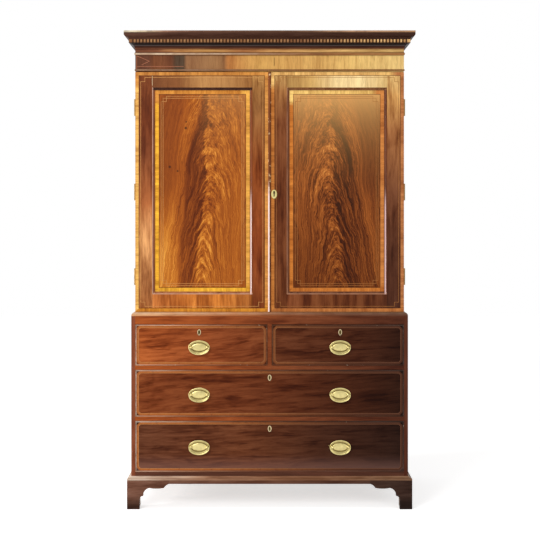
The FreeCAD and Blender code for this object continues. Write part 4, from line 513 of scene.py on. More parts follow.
def frieze_mahogany(name):
    """Cross-cut blocks side by side, from red-brown at the left through a dark one and grey-brown to gold,
    the gold partly painted glare, with painted shadow under the astragal, a plain strip above the astragal
    with painted shadow at its head and foot, plain flanks, and bare wood behind and on top."""
    finish = Finish(name)
    x, y, z = finish.place()
    where = x.share(FRIEZE_LOW.x, FRIEZE_HIGH.x)
    tone, pores = grain(finish, x * 0.9, y, z, 4.0, 0.2)
    figure = finish.noise(x, 2.0, z / 2, 15, 3, 0.6, 0.8)
    tone = (tone - 0.5) * 0.55 + (figure - 0.5) * 0.4 + 0.5
    # The blocks' gold towards the right is partly painted glare
    base = finish.tones(where, (0.0, 98, 58, 38), (0.05, 92, 54, 36), (0.07, 114, 66, 37),
                        (0.135, 100, 57, 34), (0.15, 76, 56, 40), (0.18, 76, 58, 42),
                        (0.19, 134, 92, 60), (0.31, 144, 102, 64), (0.33, 124, 82, 50),
                        (0.345, 172, 110, 58), (0.46, 196, 148, 80), (0.6, 198, 150, 84),
                        (0.8, 212, 170, 100), (1.0, 222, 186, 118))
    crooked = 15 * MM + finish.noise(z, 1.0, 0.0, 40) * (12 * MM)
    split = x.near(crooked, 3 * MM) * z.near(FRIEZE_BOTTOM + 42 * MM, 26 * MM)
    # Painted shadow on the frieze just under the astragal
    under = z.rise(ASTRAGAL_FOOT - 5 * MM, ASTRAGAL_FOOT - 2 * MM, 0.0, 0.45)
    colour = finish.scaled(figured(finish, base, tone, pores), 1 - split * 0.5 - under)
    fascia = z.rise(ASTRAGAL_TOP - 1 * MM, ASTRAGAL_TOP)
    along_tone, along_pores = grain(finish, z, y, x, 6.0, 0.3)
    # The strip's gold towards the right is partly painted glare
    strip = finish.tones(where, (0.0, 112, 64, 40), (0.08, 126, 74, 46), (0.16, 180, 124, 72),
                         (0.28, 186, 134, 74), (0.4, 160, 100, 58), (0.5, 196, 140, 82),
                         (1.0, 214, 172, 106))
    # Painted shadow at the strip's head, under the cove, and at its foot
    shadow = z.rise(ASTRAGAL_TOP + 8 * MM, ASTRAGAL_TOP + 16 * MM, 1.0, 0.5)
    shadow = shadow * z.rise(ASTRAGAL_TOP + 1 * MM, ASTRAGAL_TOP + 5 * MM, 0.45, 1.0)
    strip = finish.scaled(figured(finish, strip, along_tone, along_pores), shadow)
    colour = finish.blend(fascia, colour, strip)
    rear = figured(finish, paint(150, 108, 66), along_tone, along_pores)
    top = z.rise(FRIEZE_HIGH.z - 0.6 * MM, FRIEZE_HIGH.z - 0.3 * MM)
    bare = finish.math("MAXIMUM", y.rise(0.0, 1 * MM), top)
    flank = abs(x).rise(FRIEZE_HIGH.x - 0.6 * MM, FRIEZE_HIGH.x - 0.3 * MM)
    flank = flank * y.rise(FRIEZE_LOW.y + 0.4 * MM, FRIEZE_LOW.y + 0.8 * MM)
    colour = finish.blend(bare, colour, rear)
    colour = finish.blend(flank, colour, figured(finish, PLAIN_MAHOGANY, along_tone, along_pores))
    return polish(finish, colour, tone, pores, 0.34)


def cove_mahogany(name):
    """Dark red-brown, darkening to nearly grey where it meets the dentils as painted shade under them, with
    one lighter line that is a painted highlight.
    """
    finish = Finish(name)
    x, y, z = finish.place()
    tone, pores = grain(finish, z, y, x, 3.0, 0.3)
    level = z.share(COVE_LOW.z, COVE_HIGH.z)
    # Darker and greyer towards the dentils: painted shade under them
    base = finish.tones(level, (0.0, 110, 62, 38), (0.1, 74, 40, 25), (0.3, 46, 26, 18),
                        (0.42, 34, 27, 25), (1.0, 40, 34, 33))
    colour = figured(finish, base, tone, pores)
    # A painted highlight: the one lighter line
    colour = finish.blend(level.near(0.36, 0.05) * 0.32, colour, paint(112, 102, 100))
    return polish(finish, colour, tone, pores, 0.4)


def dentil_mahogany(name):
    """Pale fronts lit in a painted band of light, and painted shade in the cuts between them."""
    finish = Finish(name)
    x, y, z = finish.place()
    where = x.share(FRIEZE_LOW.x, FRIEZE_HIGH.x)
    front = y.rise(DENTIL_LOW.y + 0.4 * MM, DENTIL_LOW.y + 0.8 * MM, 1.0, 0.0)
    flank = abs(x).rise(DENTIL_HIGH.x - 0.8 * MM, DENTIL_HIGH.x - 0.4 * MM)
    face = finish.math("MAXIMUM", front, flank)
    each = finish.noise(x, y, 0.0, 60, 0)
    patches = finish.noise(x, 2.0, 0.0, 9, 2)
    tone = each + (patches - 0.5) * 0.9
    # The fronts' lighter tones at the right are partly painted glare
    base = finish.tones(where, (0.0, 158, 112, 70), (0.5, 160, 114, 72), (0.62, 142, 96, 62),
                        (0.85, 206, 158, 100), (1.0, 214, 168, 110))
    fibres = finish.noise(x, y, z / 6, 300, 2)
    # A painted band of light across each front; above and below it, and in the cuts, the dark colour is
    # painted shade
    lit_band = z.near((DENTIL_LOW.z + DENTIL_HIGH.z) / 2 + 2.5 * MM, 9 * MM)
    colour = finish.blend(face * (lit_band * 0.75 + 0.2), finish.scaled(paint(74, 46, 29), fibres + 0.5),
                          figured(finish, base, tone, 0.0))
    return finish.done(colour, fibres * 0.2 + 0.35, fibres, 0.05 * MM)


def crown_mahogany(name):
    """Almost black-brown, with a dusty top edge at the left and a paler one at the right."""
    finish = Finish(name)
    x, y, z = finish.place()
    tone, pores = grain(finish, z, y, x, 2.0, 0.3)
    where = x.share(CROWN_LOW.x, CROWN_HIGH.x)
    colour = figured(finish, finish.tones(where, (0.0, 72, 44, 32), (1.0, 54, 32, 23)), tone, pores)
    rim = finish.tones(where, (0.0, 214, 204, 178), (0.05, 200, 182, 150), (0.14, 140, 100, 78),
                       (0.25, 98, 66, 50), (0.5, 88, 60, 44), (0.66, 110, 80, 60), (0.75, 170, 130, 98),
                       (1.0, 168, 128, 92))
    patchy = finish.noise(x, y, z, 30, 3).rise(0.3, 0.6, 0.6, 1.0)
    inward = finish.math("MINIMUM", y - CROWN_LOW.y, CROWN_HIGH.x - abs(x))
    edge = z.rise(CROWN_HIGH.z - 10 * MM, CROWN_HIGH.z - 5 * MM) * inward.rise(2 * MM, 7 * MM, 1.0, 0.0)
    colour = finish.blend(edge * patchy, colour, rim)
    return polish(finish, colour, tone, pores, 0.42)


def cast_brass(name, bright, hollow, roughness=0.3, face=DRAWER_FACE):
    """Cast and lacquered brass, bright on its rounds and brown where it lies against the wood and in its
    groove, partly patina and partly painted shade.
    """
    finish = Finish(name, specular=0.5, metallic=1.0)
    x, y, z = finish.place()
    cloud = finish.noise(x, y, z, 40, 3, 0.6)
    specks = finish.noise(x, y, z, 500, 2).rise(0.6, 0.72)
    colour = finish.ramp(cloud, (0.3, paint(*(int(part * 0.88) for part in bright))), (0.65, paint(*bright)))
    colour = finish.blend(specks * 0.2, colour, paint(*hollow))
    # Painted shade, partly patina, on the faces just out from the wood
    low = abs(y - (face - 1.5 * MM)).rise(0.4 * MM, 0.6 * MM, 1.0, 0.0)
    colour = finish.blend(low * 0.4, colour, paint(*hollow))
    # Painted shade, partly patina, in the groove and against the wood
    sunk = y.rise(face - 1.15 * MM, face - 0.85 * MM)
    colour = finish.blend(sunk * 0.85, colour, paint(*hollow))
    return finish.done(colour, cloud * 0.16 + (roughness - 0.08), cloud, 0.04 * MM)


# ---- Shapes ----
class Form:
    """Corners and faces gathered into one mesh, in the press's own frame."""

    def __init__(self):
        self.points = []
        self.faces = []
        self.strips = []

    def loops(self, rings, closed=False, strip=None):
        """Skins between rings of equally many points; strip gives each face corner's place on a strip."""
        first, count = len(self.points), len(rings[0])
        for ring in rings:
            self.points += [tuple(point) for point in ring]
        for row in range(len(rings) if closed else len(rings) - 1):
            here = first + row * count
            there = first + (row + 1) % len(rings) * count
            for spot in range(count):
                after = (spot + 1) % count
                self.faces.append((here + spot, here + after, there + after, there + spot))
                self.strips.append(strip(row, spot) if strip else None)
        return first, count

    def cap(self, first, count, turned=False):
        """One face over a ring of count points."""
        face = tuple(range(first, first + count))
        self.faces.append(tuple(reversed(face)) if turned else face)
        self.strips.append(None)

    def solid(self, rings):
        """A closed body: its rings skinned and both ends capped."""
        first, count = self.loops(rings)
        self.cap(first, count, True)
        self.cap(first + count * (len(rings) - 1), count)

    def finish(self, name, body, material, slot, smooth=None):
        """The form as a piece of the press; edges sharper than smooth, in degrees, stay sharp."""
        mesh = bpy.data.meshes.new(name)
        mesh.from_pydata(self.points, [], self.faces)
        if any(strip for strip in self.strips):
            layer = mesh.uv_layers.new(name="strip")
            for polygon, strip in zip(mesh.polygons, self.strips):
                for corner, loop in enumerate(polygon.loop_indices):
                    layer.data[loop].uv = strip[corner] if strip else (0.0, 0.0)
        mesh.validate()
        outward(mesh)
        if smooth:
            for polygon in mesh.polygons:
                polygon.use_smooth = True
            mesh.set_sharp_from_angle(angle=math.radians(smooth))
        return placed(mesh, name, body, material, slot)


def outward(mesh):
    """Turns every face outward."""
    shell = bmesh.new()
    shell.from_mesh(mesh)
    bmesh.ops.recalc_face_normals(shell, faces=shell.faces)
    shell.to_mesh(mesh)
    shell.free()


def shown(name, content):
    """A new object in the scene."""
    made = bpy.data.objects.new(name, content)
    bpy.context.scene.collection.objects.link(made)
    return made


def placed(mesh, name, body, material, slot):
    """A mesh as a piece of the press, on its body."""
    piece = shown(name, mesh)
    mesh.materials.clear()
    mesh.materials.append(material)
    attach(piece, body)
    return piece


def mitred(path, offset):
    """A closed path in (x, z) moved sideways by offset, with its corners mitred."""
    moved = []
    for index, here in enumerate(path):
        before = Vector(path[index - 1])
        here = Vector(here)
        after = Vector(path[(index + 1) % len(path)])
        arrive = (here - before).normalized()
        leave = (after - here).normalized()
        side_in = Vector((-arrive.y, arrive.x))
        side_out = Vector((-leave.y, leave.x))
        middle = (side_in + side_out).normalized()
        moved.append(here + middle * (offset / max(0.2, middle.dot(side_in))))
    return moved


def inlay(form, path, width, face, proud=0.15 * MM):
    """A strip let into the wood along a closed path in (x, z): its middle line, its width and its face."""
    left = mitred(path, width / 2)
    right = mitred(path, -width / 2)
    front = face - proud
    rings = [[(lx, front, lz), (rx, front, rz), (rx, face, rz), (lx, face, lz)]
             for (lx, lz), (rx, rz) in zip(left, right)]
    travelled = [0.0]
    for index, here in enumerate(path):
        there = Vector(path[(index + 1) % len(path)])
        travelled.append(travelled[-1] + (there - Vector(here)).length)

    def strip(row, spot):
        here = Vector(path[row])
        way = (Vector(path[(row + 1) % len(path)]) - here).normalized()

        def place(ring, corner):
            x, y, z = rings[ring % len(rings)][corner % 4]
            return travelled[row] + (Vector((x, z)) - here).dot(way), (0.0, width, width, 0.0)[corner % 4]

        return place(row, spot), place(row, spot + 1), place(row + 1, spot + 1), place(row + 1, spot)

    form.loops(rings, closed=True, strip=strip)


def string_line(form, start, end, width, face, proud=0.15 * MM):
    """A straight string between two points in (x, z)."""
    start, end = Vector(start), Vector(end)
    side = Vector((start.y - end.y, end.x - start.x)).normalized() * (width / 2)
    form.solid([[(at.x + side.x, face - proud, at.y + side.y), (at.x - side.x, face - proud, at.y - side.y),
                 (at.x - side.x, face, at.y - side.y), (at.x + side.x, face, at.y + side.y)]
                for at in (start, end)])


def rectangle(left, right, foot, head, inset):
    """A rectangle drawn in from its edges by inset."""
    return [(left + inset, foot + inset), (right - inset, foot + inset), (right - inset, head - inset),
            (left + inset, head - inset)]


def stepped(left, right, foot, head, inset, step):
    """A rectangle whose corners step inwards as squares."""
    left, right, foot, head = left + inset, right - inset, foot + inset, head - inset
    west, east, low, high = left + step, right - step, foot + step, head - step
    return [(west, foot), (east, foot), (east, low), (right, low), (right, high), (east, high), (east, head),
            (west, head), (west, high), (left, high), (left, low), (west, low)]


def canted(left, right, foot, head, inset, cant):
    """A rectangle with its corners cut off."""
    left, right, foot, head = left + inset, right - inset, foot + inset, head - inset
    west, east, low, high = left + cant, right - cant, foot + cant, head - cant
    return [(west, foot), (east, foot), (right, low), (right, high), (east, head), (west, head), (left, high),
            (left, low)]


# ---- Inlay of the doors, the drawers and the frieze ----
OUTER_BAND = 15 * MM
LINE = 2.0 * MM
OUTER_STRING_IN = 24 * MM
OUTER_STEP = 19 * MM
PANEL_BAND = 17 * MM
STRING = 1.7 * MM
PANEL_STRINGS_IN = (27 * MM, 36 * MM)
PANEL_STEP = 24 * MM
DOOR_EDGE = 0.4 * MM
RAISED = 0.22 * MM  # a string that crosses or lies on a band stands out this far


def door_inlay(name, outer_band, panel_band, string, line):
    """A crossband, a dark line and a stepped string round the frame, and a crossband, a dark line and two
    strings in the panel. The frame's band starts beside the closing bead."""
    slot = f"mahogany_{name}"
    frame_low, frame_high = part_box(f"{name}_frame")
    moulding_low, moulding_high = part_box(f"{name}_moulding")
    face = frame_low.y
    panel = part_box(f"{name}_panel")[0].y
    if name == "left_door":
        sides = (frame_low.x + DOOR_EDGE, CLOSING_LOW.x)
    else:
        sides = (CLOSING_HIGH.x, frame_high.x - DOOR_EDGE)
    door = (*sides, frame_low.z + DOOR_EDGE, frame_high.z - DOOR_EDGE)
    inner = (moulding_low.x + DOOR_MOULDING_WIDE, moulding_high.x - DOOR_MOULDING_WIDE,
             moulding_low.z + DOOR_MOULDING_WIDE, moulding_high.z - DOOR_MOULDING_WIDE)
    outer_bands, panel_bands, strings, lines = Form(), Form(), Form(), Form()
    inlay(outer_bands, rectangle(*door, OUTER_BAND / 2), OUTER_BAND, face)
    inlay(lines, rectangle(*door, OUTER_BAND + LINE / 2), LINE, face)
    inlay(strings, stepped(*door, OUTER_STRING_IN, OUTER_STEP), STRING, face)
    inlay(panel_bands, rectangle(*inner, PANEL_BAND / 2), PANEL_BAND, panel)
    inlay(lines, rectangle(*inner, PANEL_BAND + LINE / 2), LINE, panel)
    inlay(strings, stepped(*inner, PANEL_STRINGS_IN[0], PANEL_STEP), STRING, panel)
    inlay(strings, rectangle(*inner, PANEL_STRINGS_IN[1]), STRING, panel, RAISED)
    outer_bands.finish(f"{name}_outer_crossbanding", name, outer_band, slot)
    panel_bands.finish(f"{name}_panel_crossbanding", name, panel_band, slot)
    strings.finish(f"{name}_stringing", name, string, slot)
    lines.finish(f"{name}_dark_lines", name, line, slot)


BEAD = 4 * MM
DRAWER_BAND = 9 * MM
DRAWER_STRING = 1.6 * MM
DRAWER_CANT = 12 * MM
DRAWER_STRING_CANT = 9 * MM
BEAD_CLEAR = 0.8 * MM


def drawer_inlay(name, band, string):
    """A crossband inside the cock beads, its corners cut off, with a pale string along its inner edge."""
    low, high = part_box(f"{name}_drawer_front")
    edges = (low.x, high.x, low.z, high.z)
    bands, strings = Form(), Form()
    inset = BEAD + BEAD_CLEAR
    inlay(bands, canted(*edges, inset + DRAWER_BAND / 2, DRAWER_CANT), DRAWER_BAND, DRAWER_FACE)
    inner = canted(*edges, inset + DRAWER_BAND, DRAWER_STRING_CANT)
    inlay(strings, inner, DRAWER_STRING, DRAWER_FACE, RAISED)
    bands.finish(f"{name}_drawer_crossbanding", f"{name}_drawer", band, "mahogany_drawers")
    strings.finish(f"{name}_drawer_stringing", f"{name}_drawer", string, "mahogany_drawers")


FRIEZE_STRING_IN = 6 * MM
FRIEZE_STRING_UP = 13 * MM
FRIEZE_STRING_END = -389 * MM
FRIEZE_UPRIGHT = (2 * MM, 62 * MM)
BEAD_HIGH = 7 * MM
FRIEZE_DART = ((-602 * MM, 61 * MM), (-544 * MM, 37 * MM), (-579 * MM, 20 * MM))


def frieze_inlay(string):
    """The strings left at the frieze's left end: an upright, a long one above the bead, and a dart."""
    foot = FRIEZE_BOTTOM + BEAD_HIGH
    face = FRIEZE_LOW.y
    left = FRIEZE_LOW.x + FRIEZE_STRING_IN
    form = Form()
    level = foot + FRIEZE_STRING_UP
    string_line(form, (left, foot + FRIEZE_UPRIGHT[0]), (left, foot + FRIEZE_UPRIGHT[1]), STRING, face)
    string_line(form, (left, level), (FRIEZE_STRING_END, level), STRING, face)
    spots = [(x, foot + up) for x, up in FRIEZE_DART]
    string_line(form, spots[0], spots[1], STRING, face, 0.2 * MM)
    string_line(form, spots[1], spots[2], STRING, face, 0.25 * MM)
    form.finish("frieze_stringing", "root", string, "mahogany_frieze")


# ---- Brasses ----
PLATE_WIDE = 96 * MM
PLATE_HIGH = 62 * MM
POST_APART = 72 * MM


def round_points(x, z, wide, high, y, sides):
    """An upright ellipse round (x, z), given by its half width and half height."""
    turns = [2 * math.pi * turn / sides for turn in range(sides)]
    return [(x + wide * math.cos(turn), y, z + high * math.sin(turn)) for turn in turns]


# Rings of a back plate from its rear outwards and in: (in from the edge, out from the wood), in millimetres
PLATE_RINGS = ((0, 0), (0, 1.4), (0.5, 2.1), (1.4, 2.5), (2.4, 2.3), (3.2, 1.9), (7.6, 1.6), (8.2, 1.4),
               (8.8, 0.6), (13.2, 0.5), (13.8, 1.4), (14.6, 2.0), (17.0, 2.6), (20.0, 3.0), (24.0, 3.1),
               (28.0, 3.2))
PLATE_SIDES = 72


def back_plate(form, centre):
    """An oval back plate with its sunk band."""
    form.solid([round_points(centre.x, centre.z, PLATE_WIDE / 2 - inset * MM, PLATE_HIGH / 2 - inset * MM,
                             DRAWER_FACE - out * MM, PLATE_SIDES) for inset, out in PLATE_RINGS])


# A post from its nut to its tip: (out from the drawer's face, radius), in millimetres
POST_RINGS = ((-25, 2.2), (-25, 6), (-22, 6), (-22, 2.4), (0.6, 2.4), (0.9, 5.4), (2.2, 5.6), (3.0, 4.2),
              (3.8, 3.2), (6.2, 3.0), (7.4, 3.8), (8.6, 4.6), (10.4, 5.1), (12.0, 5.2), (13.6, 5.0),
              (15.2, 4.3), (16.4, 3.1), (17.0, 1.4))


def turned(form, x, z, rings, sides=24, face=DRAWER_FACE):
    """A piece turned about a line straight out of the face."""
    form.solid([round_points(x, z, radius * MM, radius * MM, face - out * MM, sides)
                for out, radius in rings])


BAIL_HALF = 44.5 * MM
BAIL_LEG = 6 * MM
BAIL_DROP = 31 * MM
BAIL_PIN_END = 33 * MM
BAIL_SHOULDER = ((3.2 * MM, 0.0), (0.8 * MM, 0.8 * MM))
BAIL_PIN_RADIUS = 1.9 * MM
BAIL_RADIUS = 2.1 * MM
BAIL_SWELL = 0.9 * MM
BAIL_FLATTENED = 0.92
COLLAR = 1.22
COLLAR_FROM, COLLAR_TO = 0.84, 0.9
BOW_STEPS = 40


def bail_line(centre):
    """The bail's middle line from pin to pin."""
    start = [Vector((BAIL_PIN_END, 0))]
    start += [Vector((BAIL_HALF - inward, -down)) for inward, down in BAIL_SHOULDER]
    bow = [Vector((BAIL_HALF * math.cos(turn), -BAIL_LEG / 2 - (BAIL_DROP - BAIL_LEG / 2) * math.sin(turn)))
           for turn in (math.pi * step / BOW_STEPS for step in range(BOW_STEPS + 1))]
    end = [Vector((-spot.x, spot.y)) for spot in reversed(start)]
    return [Vector((centre.x + spot.x, centre.z + spot.y)) for spot in start + bow + end]


def bail_piece(name, material, sides=14):
    """A bail that swells in its middle, with a small collar above each pin."""
    centre = Vector(JOINTS[f"{name}_swing"]["pos_m"])
    line = bail_line(centre)
    last = len(line) - 1
    turns = [2 * math.pi * spot / sides for spot in range(sides)]
    rings = []
    for index, here in enumerate(line):
        way = (line[min(last, index + 1)] - line[max(0, index - 1)]).normalized()
        side = Vector((-way.y, way.x))
        share = abs(index / last - 0.5) * 2
        radius = BAIL_RADIUS + BAIL_SWELL * math.cos(share * math.pi / 2)
        if index in (0, 1, last - 1, last):
            radius = BAIL_PIN_RADIUS
        elif COLLAR_FROM < share < COLLAR_TO:
            radius *= COLLAR
        rings.append([(here.x + side.x * radius * math.cos(turn),
                       centre.y + radius * BAIL_FLATTENED * math.sin(turn),
                       here.y + side.y * radius * math.cos(turn)) for turn in turns])
    form = Form()
    form.solid(rings)
    piece = form.finish(f"{name}_cast", name, material, "brass", smooth=50)
    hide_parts(name)


THREAD_WIDE = 16 * MM
THREAD_HIGH = 27 * MM
THREAD_WALL = 2.4 * MM
THREAD_PROUD = 1.3 * MM
THREAD_DEEP = 4 * MM
THREAD_NARROWS = 0.28


def thread_escutcheon(form, x, z, sides=40):
    """A keyhole-shaped line of brass let into the drawer front."""
    def ring(inset, y):
        spots = []
        for turn in range(sides):
            angle = 2 * math.pi * turn / sides
            narrow = 1 - THREAD_NARROWS * max(0.0, -math.sin(angle)) ** 1.5
            spots.append((x + (THREAD_WIDE / 2 - inset) * math.cos(angle) * narrow, y,
                          z + (THREAD_HIGH / 2 - inset) * math.sin(angle)))
        return spots

    face, back = DRAWER_FACE - THREAD_PROUD, DRAWER_FACE + THREAD_DEEP
    form.loops([ring(0, back), ring(0, face), ring(THREAD_WALL, face), ring(THREAD_WALL, back)], closed=True)


def box_shape(form, low, high):
    """A box between two corners."""
    form.solid([[(low.x, y, low.z), (high.x, y, low.z), (high.x, y, high.z), (low.x, y, high.z)]
                for y in (low.y, high.y)])


# A keyhole at scale 1, in millimetres
KEY_EYE = 2.6
KEY_EYE_UP = 4
KEY_SLOT_HALF = 1.4
KEY_SLOT_FOOT = -8
KEY_SLOT_HEAD = 3
KEY_DEEP = 3


def keyhole(form, x, z, face, scale):
    """The dark of a keyhole: a round eye over a slot."""
    size = MM * scale
    turned(form, x, z + KEY_EYE_UP * size, ((-KEY_DEEP, KEY_EYE * scale), (0.1, KEY_EYE * scale)), 20, face)
    box_shape(form, Vector((x - KEY_SLOT_HALF * size, face - 0.08 * MM, z + KEY_SLOT_FOOT * size)),
              Vector((x + KEY_SLOT_HALF * size, face + KEY_DEEP * MM, z + KEY_SLOT_HEAD * size)))


LOCK_HALF = 30 * MM
LOCK_TALL = 46 * MM
LOCK_FRONT = 11 * MM
LOCK_BACK = 22 * MM
KEY_DOWN = 34.5 * MM
DRAWER_KEY_SCALE = 0.75
DOOR_KEY_SCALE = 1.75
DOOR_KEY_AT = (20.25 * MM, 1420 * MM)


def drawer_key(name):
    """x of a drawer's keyhole, its height, and the top of the lock."""
    bolt_low, bolt_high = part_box(f"{name}_drawer_bolt")
    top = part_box(f"{name}_drawer_front")[1].z
    return (bolt_low.x + bolt_high.x) / 2, top - KEY_DOWN, top


def drawer_brasses(name, material, pale, dark):
    """All the fixed brass of one drawer: plates, posts with nuts, thread escutcheon and lock."""
    form = Form()
    for bail in BAILS[name]:
        centre = Vector(JOINTS[f"{bail}_swing"]["pos_m"])
        back_plate(form, centre)
        for side in (-1, 1):
            turned(form, centre.x + side * POST_APART / 2, centre.z, POST_RINGS)
    key_x, key_z, top = drawer_key(name)
    box_shape(form, Vector((key_x - LOCK_HALF, DRAWER_FACE + LOCK_FRONT, top - LOCK_TALL)),
              Vector((key_x + LOCK_HALF, DRAWER_FACE + LOCK_BACK, top)))
    piece = form.finish(f"{name}_drawer_brass", f"{name}_drawer", material, "brass", smooth=40)
    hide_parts(f"{name}_drawer_brasses")
    thread = Form()
    thread_escutcheon(thread, key_x, key_z)
    thread.finish(f"{name}_thread_escutcheon", f"{name}_drawer", pale, "brass", smooth=40)
    hole = Form()
    keyhole(hole, key_x, key_z, DRAWER_FACE, DRAWER_KEY_SCALE)
    hole.finish(f"{name}_keyhole", f"{name}_drawer", dark, "mahogany_drawers")


# ---- Screws: one tree of nodes sets a slotted head on every point of a mesh ----
LEAF_HIGH = 76 * MM
LEAF_SCREW_IN = 598 * MM
LEAF_SCREWS_UP = (-26 * MM, 0.0, 26 * MM)
LEAF_CLEAR = 0.2 * MM
LOCK_SCREW_IN = 8 * MM
LOCK_SCREW_BESIDE_KEY = 23 * MM
BOLT_SCREWS_IN = (142 * MM, 128 * MM)
LEAF_HEAD = 3.0 * MM
LOCK_HEAD = 2.4 * MM
HEAD_DEEP = 0.6 * MM
HEAD_PROUD = 0.1 * MM
SLOT_WIDE = 0.8 * MM
FORWARD = (math.pi / 2, 0.0, 0.0)
BACKWARD = (-math.pi / 2, 0.0, 0.0)


def screw_tree():
    """A head with a sawn slot on every point, all facing one way and each turned as it was driven."""
    tree = bpy.data.node_groups.new("slotted_screws", "GeometryNodeTree")
    sockets = tree.interface
    sockets.new_socket("Points", in_out="INPUT", socket_type="NodeSocketGeometry")
    for name, size in (("Head Radius", LEAF_HEAD), ("Head Depth", HEAD_DEEP), ("Slot Width", SLOT_WIDE)):
        sockets.new_socket(name, in_out="INPUT", socket_type="NodeSocketFloat").default_value = size
    sockets.new_socket("Facing", in_out="INPUT", socket_type="NodeSocketVector")
    sockets.new_socket("Metal", in_out="INPUT", socket_type="NodeSocketMaterial")
    sockets.new_socket("Screws", in_out="OUTPUT", socket_type="NodeSocketGeometry")

    def made(kind, output, inputs, **settings):
        return node(tree, kind, inputs, **settings).outputs[output]

    given = node(tree, "NodeGroupInput").outputs
    radius, depth = given["Head Radius"], given["Head Depth"]
    head = made("GeometryNodeMeshCylinder", "Mesh", {"Vertices": 16, "Radius": radius, "Depth": depth})
    long = made("ShaderNodeMath", 0, {0: radius, 1: 2.4}, operation="MULTIPLY")
    block = made("ShaderNodeCombineXYZ", 0, {0: long, 1: given["Slot Width"], 2: depth})
    up = made("ShaderNodeMath", 0, {0: depth, 1: 0.6}, operation="MULTIPLY")
    lift = made("ShaderNodeCombineXYZ", 0, {2: up})
    slot = made("GeometryNodeMeshCube", "Mesh", {"Size": block})
    slot = made("GeometryNodeTransform", "Geometry", {"Geometry": slot, "Translation": lift})
    sawn = made("GeometryNodeMeshBoolean", "Mesh", {"Mesh 1": head, "Mesh 2": slot}, operation="DIFFERENCE")
    facing = made("FunctionNodeEulerToRotation", 0, {0: given["Facing"]})
    heads = made("GeometryNodeInstanceOnPoints", "Instances",
                 {"Points": given["Points"], "Instance": sawn, "Rotation": facing})
    chance = made("FunctionNodeRandomValue", 1, {3: math.pi, "Seed": 4}, data_type="FLOAT")
    spin = made("ShaderNodeCombineXYZ", 0, {2: chance})
    turn = made("FunctionNodeEulerToRotation", 0, {0: spin})
    driven = made("GeometryNodeRotateInstances", "Instances", {"Instances": heads, "Rotation": turn})
    real = made("GeometryNodeRealizeInstances", "Geometry", {"Geometry": driven})
    metal = made("GeometryNodeSetMaterial", "Geometry", {"Geometry": real, "Material": given["Metal"]})
    node(tree, "NodeGroupOutput", {"Screws": metal})
    return tree


def screws(tree, name, body, spots, facing, metal, radius):
    """Screw heads on one body, all facing one way."""
    points = bpy.data.meshes.new(f"{name}_points")
    points.from_pydata(spots, [], [])
    holder = shown(f"{name}_points", points)
    modifier = holder.modifiers.new("screws", "NODES")
    modifier.node_group = tree
    contents = {"Facing": facing, "Metal": metal, "Head Radius": radius}
    for socket in tree.interface.items_tree:
        if socket.in_out == "INPUT" and socket.name in contents:
            modifier[socket.identifier] = contents[socket.name]
    ready = holder.evaluated_get(bpy.context.evaluated_depsgraph_get())
    mesh = bpy.data.meshes.new_from_object(ready)
    bpy.data.objects.remove(holder)
    mesh.name = name
    return placed(mesh, name, body, metal, "brass")


def hinge_screws(tree, metal):
    """Three screws in each leaf of the six hinges."""
    pin = Vector(JOINTS["right_door_hinge"]["pos_m"])
    low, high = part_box("right_door_hinges")
    heights = (low.z + LEAF_HIGH / 2, (low.z + high.z) / 2, high.z - LEAF_HIGH / 2)
    out = LEAF_CLEAR - HEAD_PROUD + HEAD_DEEP / 2
    for side, body in ((1, "right_door"), (-1, "left_door")):
        spots = [(side * LEAF_SCREW_IN, pin.y - out, z + up) for z in heights for up in LEAF_SCREWS_UP]
        screws(tree, f"{body}_leaf_screws", body, spots, BACKWARD, metal, LEAF_HEAD)
    spots = [(side * LEAF_SCREW_IN, pin.y + out, z + up)
             for side in (1, -1) for z in heights for up in LEAF_SCREWS_UP]
    screws(tree, "case_leaf_screws", "root", spots, FORWARD, metal, LEAF_HEAD)


def lock_screws(tree, metal):
    """Screws of the locks and of the flush bolts' plates, all on the back of their door or drawer."""
    spots = [(x, LOCK_HIGH.y + HEAD_PROUD, z)
             for x in (LOCK_LOW.x + LOCK_SCREW_IN, LOCK_HIGH.x - LOCK_SCREW_IN)
             for z in (LOCK_LOW.z + LOCK_SCREW_IN, LOCK_HIGH.z - LOCK_SCREW_IN)]
    screws(tree, "right_door_lock_screws", "right_door", spots, BACKWARD, metal, LOCK_HEAD)
    door_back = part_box("left_door_frame")[1].y
    middle = sum(corner.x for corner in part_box("left_door_foot_bolt")) / 2
    spots = [(middle, door_back + HEAD_PROUD, end + way * inward)
             for end, way in ((DOOR_LOW.z, 1), (DOOR_HIGH.z, -1)) for inward in BOLT_SCREWS_IN]
    screws(tree, "left_door_bolt_screws", "left_door", spots, BACKWARD, metal, LOCK_HEAD)
    for name in DRAWERS:
        key_x, key_z, top = drawer_key(name)
        spots = [(key_x + side * LOCK_SCREW_BESIDE_KEY, DRAWER_FACE + LOCK_BACK + HEAD_PROUD, top - down)
                 for side in (-1, 1) for down in (LOCK_SCREW_IN, LOCK_TALL - LOCK_SCREW_IN)]
        screws(tree, f"{name}_lock_screws", f"{name}_drawer", spots, BACKWARD, metal, LOCK_HEAD)


